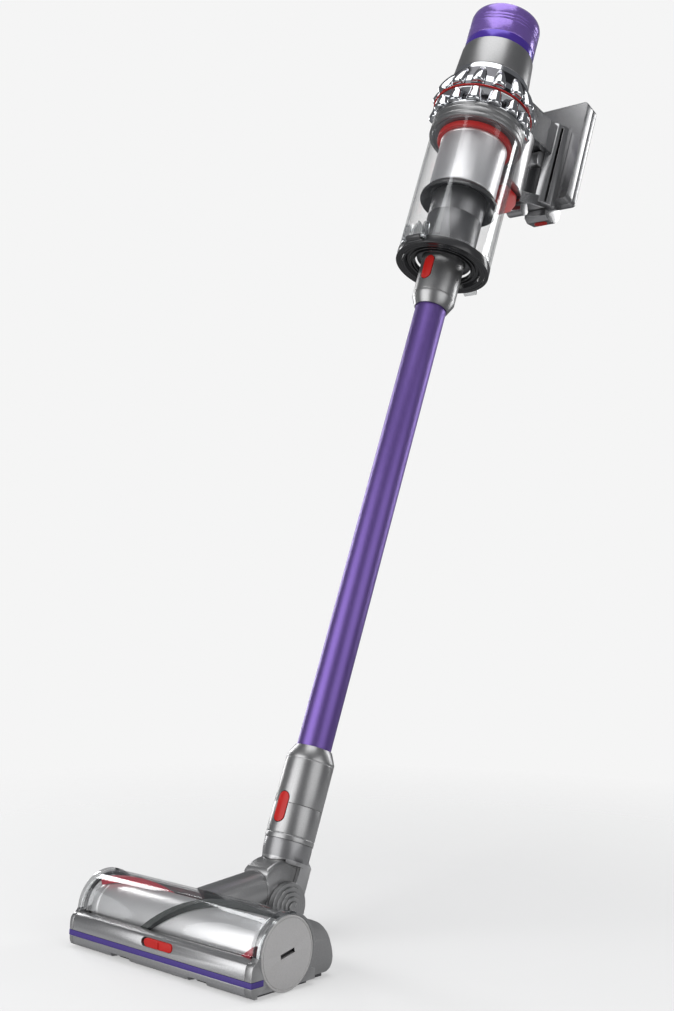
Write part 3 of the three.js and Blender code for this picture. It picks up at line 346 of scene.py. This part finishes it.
# Painted shade: a near-black finish for the walls and floors of the button pockets and the cap's slot, where
# shade falls in the recess.
recess_shade_black = satin("recess_shade_black", rgb(0.006, 0.006, 0.007), rgb(0.014, 0.014, 0.015), 0.4, 0.0)
for part, body, node, height in (
        (collar, "neck", "neck_collar", LOW_PILL), (lower, "wand", "lower_cuff", LOW_PILL),
        (upper, "wand", "upper_cuff", HIGH_PILL)):
    carved(part, pill("pocket", PILL_LENGTH + POCKET_EXTRA, PILL_WIDTH + POCKET_EXTRA, 11.2,
                      WAND @ Matrix.Translation((0, -25.5 * MM, height * MM))))
    fitted(smoothed(part, 0), body, node, grey)
    # Painted shade: the walls and floor of the pocket round each button are coloured near-black.
    painted(part, recess_shade_black, lambda p: p.y < -19.8 and abs(p.x) < 7.5 and math.hypot(p.x, p.y) < 25.2
            and abs(p.z - height) < 16.5)
for name, node, body, height in (
        ("neck_pill", "neck_button", "neck_button", LOW_PILL),
        ("wand_pill", "wand_button", "wand_button", HIGH_PILL)):
    front = WAND @ Matrix.Translation((0, -24.5 * MM, height * MM))
    button = pill(name, PILL_LENGTH, PILL_WIDTH, 3.6, front)
    form = turned("form", [
        [0, height - 30], [26, height - 30], [26, height + 30], [0, height + 30]], WAND, 0)
    fitted(smoothed(carved(button, form, "INTERSECT"), 0.7), body, node, red)


# ---- Dust bin ----
# A clear polycarbonate drum with thick moulded ends. Its black base is a flap that drops on a hinge
# at the front, held shut by a clear catch at the back, and a metallic band closes its top.
def see_through(name, tint, low, high, roughness=0.04):
    finish = Finish(name, Metallic=1.0)
    facing = finish.node("ShaderNodeLayerWeight", None, {"Blend": 0.35}, output="Facing")
    haze = finish.noise(60.0, 3.0)
    finish.set(
        Base_Color=tint, Roughness=roughness + haze * 0.04,
        Alpha=low + (facing ** 3.0) * (high - low))
    finish.bump(haze, 0.005, 0.0005)
    return finish


clear = see_through("clear_polycarbonate", rgb(0.86, 0.88, 0.89), 0.05, 0.8)
thick_clear = see_through("thick_polycarbonate", rgb(0.5, 0.52, 0.53), 0.36, 0.95)
black = satin("gloss_black", rgb(0.008, 0.008, 0.009), rgb(0.02, 0.02, 0.022), 0.2, 0.0)
silver = satin("satin_silver", rgb(0.42, 0.42, 0.425), rgb(0.56, 0.56, 0.565), 0.28, 0.85)
steel = satin("machined_steel", rgb(0.45, 0.46, 0.48), rgb(0.6, 0.61, 0.63), 0.22, 1.0, 500.0)
fitted(turned("bin_drum", [
    [54, 758.3], [56, 758.3], [56, 762], [55.8, 764], [55.8, 924], [56, 927], [54, 927]], WAND, 0.4, 128),
    "dust_bin", "clear_bin", clear)
fitted(turned("band_ring", [
    [53.6, 927.3], [58, 927.3], [58, 931], [57.3, 931.6], [57.3, 933], [58, 933.6], [58, 939], [57.2, 939.6],
    [57.2, 941], [57.8, 941.6], [57.8, 946], [53.6, 946]], WAND, 0.2, 128),
    "dust_bin", "bin_band", grey)


def block(name, low, high, place, bevel):
    """A box between two corners in millimetres, with its edges rounded."""
    bpy.ops.object.select_all(action="DESELECT")
    middle = [(a + b) / 2 * MM for a, b in zip(low, high)]
    bpy.ops.mesh.primitive_cube_add(size=1, location=middle, scale=[(b - a) * MM for a, b in zip(low, high)])
    piece = bpy.context.object
    piece.name = piece.data.name = name
    bpy.ops.object.transform_apply(location=True, rotation=True, scale=True)
    placed(piece, place)
    return smoothed(piece, bevel)


def joined(name, pieces):
    alone(pieces[0])
    for piece in pieces:
        piece.select_set(True)
    bpy.ops.object.join()
    pieces[0].name = pieces[0].data.name = name
    return pieces[0]


HINGE = WAND @ Matrix.Translation((0, -60.2 * MM, 753 * MM)) @ Matrix.Rotation(math.pi / 2, 4, "Y")
lugs = [block("lug", (x - 3, -63.6, 751), (x + 3, -56.3, 771), WAND, 1.2) for x in (-13.4, 13.4)]
ribs = [block("rib", (x - 0.8, -60.5 + abs(x) * 0.1, 759), (x + 0.8, -56.3, 776 - abs(x)), WAND, 0.4)
        for x in (-9, -6, -3, 0, 3, 6, 9)]
fitted(joined("hinge_lugs", lugs + ribs), "dust_bin", None, thick_clear)
fitted(turned("hinge_pin", [[0, -16], [1.6, -16], [1.6, 16], [0, 16]], HINGE, 0.3, 32),
       "dust_bin", "flap_pin", steel)
plate = turned("flap_plate", [
    [34, 755], [34, 749.2], [35.4, 749.2], [35.4, 752.4], [38.6, 752.4], [38.6, 750], [40, 750], [40, 752.4],
    [43.4, 752.4], [46, 748], [48.5, 748], [49, 748.6], [51.4, 748.6], [52, 748], [56.4, 748], [56.4, 757.5],
    [52, 757.5], [47.5, 755]], WAND, 0.3, 128)
knuckle = turned("knuckle", [[1.75, -10], [3.5, -10], [3.5, 10], [1.75, 10]], HINGE, 0.3, 40)
web = block("web", (-9.8, -58.2, 749.2), (9.8, -53.5, 752.6), WAND, 0.6)
fitted(joined("flap_moulding", [plate, knuckle, web]), "bin_flap", "bin_flap", black)


def softened(name, node, width, segments=3, angle=33, skip=None, wide=None, wide_width=0, place=WAND):
    """A copy of a frame node with its edges rounded. Tests on an edge get its two ends in millimetres."""
    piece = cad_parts[node].copy()
    piece.data = piece.data.copy()
    piece.name = piece.data.name = name
    bpy.context.scene.collection.objects.link(piece)
    alone(piece)
    bpy.ops.object.mode_set(mode="EDIT")
    bpy.ops.mesh.select_mode(type="EDGE")
    bpy.ops.mesh.select_all(action="SELECT")
    bpy.ops.mesh.remove_doubles(threshold=2e-6)
    bpy.ops.mesh.dissolve_limited(angle_limit=math.radians(1.0))
    to_local = place.inverted()
    for test, offset, rounds in ((wide, wide_width, 6), (None, width, segments)):
        if not offset:
            continue
        bpy.ops.mesh.select_all(action="DESELECT")
        mesh = bmesh.from_edit_mesh(piece.data)
        for edge in mesh.edges:
            if len(edge.link_faces) != 2 or edge.calc_face_angle(0) < math.radians(angle):
                continue
            a, b = (to_local @ v.co / MM for v in edge.verts)
            edge.select = (test is None or test(a, b)) and not (skip and skip(a, b))
        bmesh.update_edit_mesh(piece.data)
        bpy.ops.mesh.bevel(offset=offset * MM, segments=rounds, clamp_overlap=True)
    bpy.ops.object.mode_set(mode="OBJECT")
    return smoothed(piece, 0, angle=angle)


fitted(softened("catch_moulding", "bin_catch", 0.8), "dust_bin", "bin_catch", thick_clear)

# ---- Cyclone inside the bin ----
# Dirty air spins round a bright pierced shroud and drops its dust past the black skirt. The grey duct
# below brings the air up from the wand, and a red seal and a dark base ring close the top.
dark = satin("satin_dark", rgb(0.035, 0.035, 0.038), rgb(0.075, 0.075, 0.08), 0.3, 0.5)
duct_grey = satin("duct_grey", rgb(0.13, 0.13, 0.135), rgb(0.2, 0.2, 0.205), 0.36, 0.8)
fitted(turned("duct_tube", [
    [26, 757], [33, 757], [33, 812], [32.7, 812.5], [33, 813], [33, 844], [31.2, 844],
    [31.2, 797], [26, 791]], WAND, 0.3), "hand_unit", "core_duct", duct_grey)
fitted(turned("skirt_moulding", [
    [29, 847.7], [29, 844.3], [37, 844.3], [42, 841], [46.3, 836], [48, 836.4], [47.6, 840], [44.5, 845],
    [42.5, 847.7]], WAND, 0.25, 128), "hand_unit", "shroud_skirt", black)
pierced = Finish("pierced_steel", Metallic=0.9)
mapped = pierced.node("ShaderNodeMapping", None, {"Vector": pierced.place, "Rotation": (LEAN, 0, 0)})
holes = pierced.node("ShaderNodeTexVoronoi", None, {"Vector": mapped, "Scale": 900.0, "Randomness": 0.2})
open_hole = 1.0 - pierced.range(holes, 0.18, 0.34)
streak = pierced.noise(20.0, 3.0, (30.0, 30.0, 1.0))
pierced.set(
    Base_Color=pierced.mix(open_hole * 0.22 + streak * 0.12, rgb(0.86, 0.86, 0.87), rgb(0.36, 0.36, 0.38)),
    Roughness=0.3 + streak * 0.12)
pierced.bump(open_hole, 0.06, 0.0002)
fitted(turned("shroud_screen", [
    [40.3, 848], [41.5, 848], [41.5, 850.4], [41.2, 850.7], [41.2, 917.4], [41.5, 917.8],
    [41.5, 920], [40.3, 920]], WAND, 0.12, 128), "hand_unit", "shroud", pierced)
fitted(turned("shroud_seal", [
    [40.9, 920.3], [46, 920.3], [46.5, 922], [46.5, 927], [40.9, 927]], WAND, 0.6, 128),
       "hand_unit", "shroud_ring", red)
fitted(turned("base_ring", [
    [43, 927.3], [53, 927.3], [53, 932], [52.6, 932.5], [53, 933], [53, 946], [43, 946]], WAND, 0.3, 128),
    "hand_unit", "cyclone_base", duct_grey)


def coated(node, finish):
    """Gives its material to a frame node that is shown as it stands."""
    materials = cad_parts[node].data.materials
    materials.clear()
    materials.append(finish.material)


coated("cyclone_cones", dark)

# ---- Crown ----
# The chromed housing over the cyclones: a domed casting with a tier of long bosses above and a
# tier of flared cups below, parted by a thin red ring.
chrome = Finish("bright_chrome", Metallic=1.0)
ripple = chrome.noise(45.0, 2.0)
smear = chrome.noise(220.0, 3.0)
chrome.set(
    Base_Color=chrome.mix(ripple, rgb(0.55, 0.56, 0.58), rgb(0.66, 0.67, 0.69)),
    Roughness=0.09 + smear * 0.08)
chrome.bump(ripple, 0.05, 0.0008)
dome = turned("dome", [
    [46, 946.5], [57, 946.5], [58, 948], [52, 950.5], [52, 961], [60.2, 965.5], [60.2, 970],
    [57, 972], [56.6, 978], [54.8, 987], [52, 996], [50.2, 1004], [49.2, 1009], [48.8, 1012],
    [40, 1012], [40, 1008], [46, 1002]],
    Matrix.Identity(4), 0.5, 128)
cup = turned("cup", [
    [0, -10], [8.6, -10], [9.8, -9.2], [10.2, -7.2], [9.6, -4], [8.6, 0], [8.0, 4], [8.0, 8], [7, 10],
    [0, 10]], Matrix.Identity(4), 0.5, 28)
finger = turned("finger", [
    [0, -17], [6.6, -17], [8.6, -15.4], [8.8, -8], [7.6, 2], [5.6, 11], [3.2, 15.4], [0, 17]],
    Matrix.Identity(4), 0.5, 28)
CYCLONES = 14
crown_parts = [dome]
for i in range(CYCLONES):
    angle = Matrix.Rotation((i + 0.5) * 2 * math.pi / CYCLONES, 4, "Z")
    for model, radius, height, lean in ((cup, 53.6, 957.2, 0.0), (finger, 52.4, 988, -0.34)):
        copy = model.copy()
        copy.data = model.data.copy()
        bpy.context.scene.collection.objects.link(copy)
        place = angle @ Matrix.Translation((radius * MM, 0, height * MM)) @ Matrix.Rotation(lean, 4, "Y")
        crown_parts.append(placed(copy, place))
for model in (cup, finger):
    bpy.data.objects.remove(model)
# Painted shade: a dark chrome, mottled at random, stands in for the shade in the gaps between the cups and
# between the bosses.
painted_shade_chrome = Finish("painted_shade_chrome", Metallic=1.0)
shade_mottle = painted_shade_chrome.noise(90.0, 2.0)
painted_shade_chrome.set(
    Base_Color=painted_shade_chrome.mix(shade_mottle, rgb(0.06, 0.06, 0.065), rgb(0.11, 0.11, 0.12)),
    Roughness=0.12 + shade_mottle * 0.08)
crown = placed(joined("crown_casting", crown_parts), WAND)
fitted(crown, "hand_unit", "cyclone_collar", chrome)
# Painted shade: the dome faces between the lower cups and between the upper bosses take the dark chrome.
painted(crown, painted_shade_chrome, lambda p: (
    (949 < p.z < 963 and math.hypot(p.x, p.y) < 53.5)
    or (970.5 < p.z < 1003 and math.hypot(p.x, p.y) < 57.8 - (p.z - 972) * 0.21)))
fitted(turned("crown_line", [
    [60.4, 967.6], [61.9, 967.6], [62.1, 968.1], [61.9, 968.6], [60.4, 968.6]], WAND, 0.3, 128),
       "hand_unit", "crown_ring", red)

# ---- Motor housing, filter and display ----
# The motor sits in a satin grey barrel over the crown. A tinted filter cap turns to lock on it
# round the black display housing, and the display faces the user with one round key under it.
fitted(turned("motor_barrel", [
    [45.5, 1012.3], [48, 1012.3], [48, 1014], [45.5, 1053], [45.2, 1054], [42.9, 1054]], WAND, 0.3, 128),
    "hand_unit", "motor_housing", grey)
tinted = see_through("tinted_purple", rgb(0.27, 0.16, 0.58), 0.74, 0.97, 0.22)
tinted.set(Metallic=0.5, Coat_Weight=0.4, Coat_Roughness=0.12)
deep = see_through("deep_purple", rgb(0.09, 0.04, 0.42), 0.9, 0.98, 0.2)
deep.set(Metallic=0.4, Coat_Weight=0.4, Coat_Roughness=0.12)
outline = [[41.8, 1054.3], [44, 1054.3], [44, 1066], [43.7, 1066.4], [43.7, 1066.8], [44, 1067.2]]
for groove in (1084, 1088.5, 1093):
    outline += [[44, groove], [43.5, groove + 0.4], [43.5, groove + 0.9], [44, groove + 1.3]]
outline += [[44, 1104], [43.2, 1107.2], [41, 1109], [27.6, 1109], [27.6, 1106.6], [41.8, 1106.6]]
filter_shell = turned("filter_shell", outline, WAND, 0.25, 128)
fitted(filter_shell, "filter", "filter_cap", tinted)
painted(filter_shell, deep, lambda p: p.z < 1066.3)
pleat = Finish("pleated_paper", Roughness=0.9)
weave = pleat.noise(600.0, 4.0)
pleat.set(Base_Color=pleat.mix(weave, rgb(0.5, 0.45, 0.72), rgb(0.62, 0.58, 0.8)))
pleat.bump(weave, 0.2, 0.0002)
coated("pleated_filter", pleat)
fitted(turned("display_cup", [
    [0, 1103.8], [24.5, 1103.8], [24.5, 1051], [42.6, 1051], [42.6, 1053.6], [27, 1053.6],
    [27, 1107], [26.2, 1107.8], [0, 1107.8]], WAND, 0.3), "hand_unit", "display_housing", black)
glass = Finish("display_glass", Coat_Weight=0.8, Coat_Roughness=0.03)
smudge = glass.noise(40.0, 4.0)
glass.set(
    Base_Color=glass.mix(smudge, rgb(0.004, 0.005, 0.008), rgb(0.012, 0.014, 0.02)),
    Roughness=0.05 + smudge * 0.1)
fitted(turned("display_disc", [[0, 1106.2], [17, 1106.2], [17, 1108], [15, 1108.5], [0, 1108.8]],
              WAND @ Matrix.Translation((0, 4 * MM, 0)), 0.2), "hand_unit", "display_lens", glass)
fitted(turned("mode_key", [[0, 1104.4], [3, 1104.4], [3, 1108.4], [2.4, 1108.8], [0, 1108.5]],
              WAND @ Matrix.Translation((0, -19 * MM, 0)), 0.15, 40),
       "mode_key", "mode_button", silver)

# ---- Motor and board, inside the housing ----
# A copper-wound stator, a steel rotor with its impeller on one shaft, a bearing and a round board.
copper = Finish("wound_copper", Metallic=1.0, Roughness=0.35)
wire = copper.node("ShaderNodeTexWave", {"bands_direction": "Z"}, {"Vector": copper.place, "Scale": 500.0})
copper.set(Base_Color=copper.mix(wire, rgb(0.35, 0.13, 0.05), rgb(0.72, 0.34, 0.16)))
copper.bump(wire, 0.4, 0.0003)
board = Finish("circuit_board")
track = board.node("ShaderNodeTexBrick", None, {"Vector": board.place, "Scale": 90.0}, output="Fac")
board.set(
    Base_Color=board.mix(track, rgb(0.01, 0.12, 0.05), rgb(0.03, 0.22, 0.1)),
    Roughness=0.35 + track * 0.2)
for node, finish in (("motor_stator", copper), ("rear_bearing", steel), ("motor_rotor", steel),
                     ("control_board", board)):
    coated(node, finish)

# ---- Handle ----
# Two grey shells screwed together down the middle make the upper arm, the grip column and the lower
# arm. A rail ties them to the body, with the trigger at the top of the grip and a red lever below.
fitted(softened("rail_cover", "bin_rail", 1.6), "hand_unit", "bin_rail", silver)
grip_grey = satin("grip_grey", rgb(0.26, 0.26, 0.265), rgb(0.38, 0.38, 0.385), 0.24, 0.9)
for side in ("grip_left", "grip_right"):
    shell = softened(side + "_shell", side, 1.2, skip=lambda a, b: abs(a.x) < 0.5 and abs(b.x) < 0.5,
                     wide=lambda a, b: min(abs(a.x), abs(b.x)) > 13.5, wide_width=5)
    fitted(shell, "hand_unit", side, grip_grey)
rubber = Finish("grip_rubber", Roughness=0.5)
dots = rubber.node("ShaderNodeTexVoronoi", None, {"Vector": rubber.place, "Scale": 700.0})
rubber.set(Base_Color=rubber.mix(dots, rgb(0.02, 0.02, 0.022), rgb(0.045, 0.045, 0.05)))
rubber.bump(dots, 0.25, 0.0002)
fitted(softened("insert_moulding", "grip_insert", 1.0), "hand_unit", "grip_insert", rubber)
fitted(softened("trigger_moulding", "trigger", 1.6), "trigger", "trigger", silver)
fitted(softened("lever_moulding", "bin_lever", 2.6, 4), "bin_lever", "bin_lever", red)

# ---- Battery ----
# A flat pack behind the grip: an inner case with a sloping foot that holds the red release button,
# an outer cover, and seven round cells in shrink sleeve inside.
fitted(softened("pack_case", "battery_case", 2.0, 4), "battery", "battery_case", grip_grey)
pack_out = max((WAND.inverted() @ v.co).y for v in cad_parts["battery_cover"].data.vertices) / MM
cover = softened("pack_cover", "battery_cover", 0.8,
                 wide=lambda a, b: min(a.y, b.y) > pack_out - 0.5, wide_width=7)
fitted(cover, "battery", "battery_cover", grip_grey)
fitted(softened("pack_button", "battery_button", 0.7), "battery_button", "battery_button", red)
sleeve = Finish("cell_sleeve", Coat_Weight=0.4)
crease = sleeve.noise(120.0, 3.0, (1.0, 1.0, 0.1))
sleeve.set(
    Base_Color=sleeve.mix(crease, rgb(0.03, 0.1, 0.3), rgb(0.06, 0.17, 0.42)),
    Roughness=0.3 + crease * 0.2)
coated("cell_pack", sleeve)

# ---- Neck and elbow ----
# The dark yoke straddles a domed hood on a steel pin, and stepped round caps cover the pin's ends.
# The hood turns on the grey neck tube, which is moulded to the floor head.
yoke_dark = satin("yoke_dark", rgb(0.05, 0.05, 0.053), rgb(0.095, 0.095, 0.1), 0.32, 0.7)
YOKE_SPLIT = 44  # where the grey cheeks end and the dark cup begins
yoke = softened("yoke_moulding", "neck_yoke", 1.0, 3, 28, wide=lambda a, b: (
    min(abs(a.x), abs(b.x)) > 20 and max(a.z, b.z) < 52), wide_width=2.6)
yoke_form = turned("yoke_form", [
    [0, -40], [40, -40], [40, 30], [25.2, 47], [25.2, 62], [0, 62]], WAND, 0)
carved(yoke, yoke_form, "INTERSECT")
alone(yoke)
bpy.ops.object.mode_set(mode="EDIT")
bpy.ops.mesh.select_all(action="SELECT")
bpy.ops.mesh.bisect(
    plane_co=WAND @ Vector((0, 0, YOKE_SPLIT * MM)), plane_no=WAND.to_3x3() @ Vector((0, 0, 1)))
bpy.ops.object.mode_set(mode="OBJECT")
fitted(yoke, "neck", "neck_yoke", yoke_dark)
painted(yoke, grey, lambda p: p.z < YOKE_SPLIT)
hood = softened(
    "hood_moulding", "elbow_hood", 0.6, 3, 28, place=Matrix.Translation((pin_low + pin_high) / 2),
    wide=lambda a, b: (min(math.hypot(a.y, a.z), math.hypot(b.y, b.z)) > 45
                       and abs(a.x) > 15.9 and abs(b.x) > 15.9), wide_width=7)
fitted(hood, "elbow", "elbow_hood", grey)
fitted(softened("neck_moulding", "neck_tube", 0.4, 2, 28), "head", "neck_tube", grey)
coated("pivot_pin", steel)
for name, node, side in (("cap_disc_right", "pivot_cap_right", 1), ("cap_disc_left", "pivot_cap_left", -1)):
    place = WAND @ Matrix.Translation((side * 20.7 * MM, 0, 0)) @ Matrix.Rotation(side * math.pi / 2, 4, "Y")
    disc = turned(name, [
        [0, 0], [24, 0], [24, 2.2], [20.3, 2.2], [20.0, 1.6], [19.5, 1.6], [19.4, 4], [15.8, 4],
        [15.5, 3.3], [15.0, 3.3], [14.9, 5.6], [11.3, 5.6], [11.0, 4.9], [10.5, 4.9], [10.4, 7.2],
        [6.8, 7.2], [6.6, 6.2], [6.0, 6.2], [5.9, 8.6], [2.2, 8.6], [1.8, 8.0], [0, 8.0]],
        place, 0.35, 96)
    fitted(disc, "neck", node, grey)

# ---- Floor head: shells ----
# A grey chassis with clear side arcs and a curved clear window over the brush bar, a satin bumper
# across the front with a soft purple strip round its foot, and a dark sole plate underneath.
CLEAR_ABOVE, CLEAR_BEFORE = 36, 10  # the side arcs are clear over this height, in front of this line
chassis = softened("chassis_shell", "head_chassis", 0.9, 3, 30)
alone(chassis)
bpy.ops.object.mode_set(mode="EDIT")
for point, normal in (((0, 0, CLEAR_ABOVE), (0, 0, 1)), ((0, CLEAR_BEFORE, 0), (0, 1, 0))):
    bpy.ops.mesh.select_all(action="SELECT")
    bpy.ops.mesh.bisect(plane_co=HEAD + Vector(point) * MM, plane_no=normal)
bpy.ops.object.mode_set(mode="OBJECT")
fitted(chassis, "head", "head_chassis", grey)
painted(chassis, thick_clear, lambda p: (
    p.z > CLEAR_ABOVE and p.y < CLEAR_BEFORE and abs(p.x) > 110), Matrix.Translation(HEAD))
fitted(softened("sole_shell", "sole_plate", 0.5), "head", "sole_plate", dark)
fitted(softened("window_shell", "brush_window", 0.25, 2), "head", "brush_window", clear)
bumper_silver = satin("bumper_silver", rgb(0.30, 0.30, 0.305), rgb(0.43, 0.43, 0.435), 0.3, 0.88)
fitted(softened("bumper_shell", "front_bumper", 1.0, 3, 24), "head", "front_bumper", bumper_silver)
strip = Finish("soft_purple", Roughness=0.55)
fuzz = strip.noise(1500.0, 3.0)
strip.set(Base_Color=strip.mix(fuzz, rgb(0.03, 0.014, 0.15), rgb(0.07, 0.038, 0.27)))
strip.bump(fuzz, 0.25, 0.0002)
fitted(softened("strip_moulding", "soft_strip", 0.5), "head", "soft_strip", strip)
fitted(softened("slider_moulding", "suction_slider", 0.8, 3, 28),
       "suction_slider", "suction_slider", red)
BAR_CENTRE = Matrix.Translation(HEAD + Vector((0, 0, 34 * MM)))
BAR = BAR_CENTRE @ Matrix.Rotation(math.pi / 2, 4, "Y")
fitted(turned("window_seal_left", [
    [30.2, -119.6], [33.4, -119.6], [33.4, -117.3], [30.2, -117.3]], BAR, 0.3),
       "head", None, black)

# ---- Floor head: brush bar ----
# A silver tube that turns on its own motor, with a red nylon strip and a dark carbon strip wound
# round it, a cap at the right end that lets it out, and small wheels under the sole.
bright = satin("bright_silver", rgb(0.66, 0.66, 0.665), rgb(0.8, 0.8, 0.805), 0.3, 0.7)
fitted(turned("bar_tube", [
    [21, -117], [25.4, -117], [26, -116], [26, -108], [25.5, -107.6], [25.5, -106.8], [26, -106.4],
    [26, 104], [25.5, 104.4], [25.5, 105.2], [26, 105.6], [26, 113], [25.4, 114], [4, 114],
    [4, 118.5], [0, 118.5], [0, 110], [21, 110]],
    BAR, 0.2), "brush_bar", "brush_core", bright)
nylon = Finish("red_nylon", Roughness=0.75, Sheen_Weight=0.3)
tuft = nylon.node("ShaderNodeTexWave", {"bands_direction": "X"}, {
    "Vector": nylon.place, "Scale": 260.0, "Distortion": 1.5, "Detail": 2.0})
nylon.set(Base_Color=nylon.mix(tuft, rgb(0.32, 0.012, 0.03), rgb(0.62, 0.04, 0.07)))
nylon.bump(tuft, 0.5, 0.0006)
carbon = Finish("carbon_fibre_strip", Roughness=0.55)
hair = carbon.node("ShaderNodeTexWave", {"bands_direction": "X"}, {
    "Vector": carbon.place, "Scale": 420.0, "Distortion": 2.0, "Detail": 2.0})
carbon.set(Base_Color=carbon.mix(hair, rgb(0.02, 0.022, 0.022), rgb(0.09, 0.1, 0.095)))
carbon.bump(hair, 0.4, 0.0004)
for node, finish in (("bristles_red", nylon), ("bristles_dark", carbon), ("brush_motor", steel)):
    coated(node, finish)
cap_silver = satin("cap_silver", rgb(0.50, 0.49, 0.485), rgb(0.60, 0.59, 0.585), 0.42, 0.5)
cap = turned("cap_disc", [
    [0, 121], [33.4, 121], [33.4, 124.5], [32.9, 125], [31.6, 125], [31.4, 124.4], [30.9, 124.4],
    [30.7, 125], [0, 125]], BAR, 0.12, 128)
slot_place = BAR_CENTRE @ Matrix.Rotation(math.radians(12), 4, "X")
carved(cap, block("slot", (122.4, -9, -2.1), (127, 9, 2.1), slot_place, 0))
fitted(smoothed(cap, 0), "end_cap", "end_cap", cap_silver)
# Painted shade: the walls of the slot in the cap are coloured near-black.
painted(cap, recess_shade_black, lambda p: 122 < p.x < 124.9 and math.hypot(p.y, p.z) < 10, slot_place)
tyre = Finish("soft_tyre", Roughness=0.7)
scuff = tyre.noise(300.0, 4.0)
tyre.set(Base_Color=tyre.mix(scuff, rgb(0.03, 0.02, 0.09), rgb(0.08, 0.06, 0.2)))
tyre.bump(scuff, 0.2, 0.0002)
for node, finish, slot_name, radius, width in (
        ("rear_wheel_left", tyre, "soft", 9, 4), ("rear_wheel_right", tyre, "soft", 9, 4),
        ("front_roller_left", black, "black", 4.5, 12), ("front_roller_right", black, "black", 4.5, 11)):
    low, high = (Vector(corner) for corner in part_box(node))
    place = Matrix.Translation((low + high) / 2) @ Matrix.Rotation(math.pi / 2, 4, "Y")
    hub, shoulder, inner = radius * 0.55, radius * 0.6, width - 0.8
    wheel = turned(node + "_tread", [
        [0, -inner], [hub, -inner], [shoulder, -width], [radius - 0.8, -width], [radius, -inner],
        [radius, inner], [radius - 0.8, width], [shoulder, width], [hub, inner], [0, inner]],
        place, 0.15, 48)
    fitted(wheel, node, node, finish)

# ---- Floor ----
# A pale round sheet that fades out towards its edge.
bpy.ops.object.select_all(action="DESELECT")
bpy.ops.mesh.primitive_circle_add(vertices=96, radius=2.2, fill_type="NGON", location=(0, 0, 0))
floor = bpy.context.object
floor.name = "studio_floor"
ground = Finish("pale_floor", Roughness=0.7)
mottle = ground.noise(3.0, 2.0)
reach = ground.node("ShaderNodeVectorMath", {"operation": "LENGTH"}, {0: ground.place}, output="Value")
ground.set(
    Base_Color=ground.mix(mottle, rgb(0.90, 0.90, 0.90), rgb(0.93, 0.93, 0.93)),
    Alpha=(1.0 - ground.range(reach, 0.25, 1.2)) * 0.6)
floor.data.materials.append(ground.material)
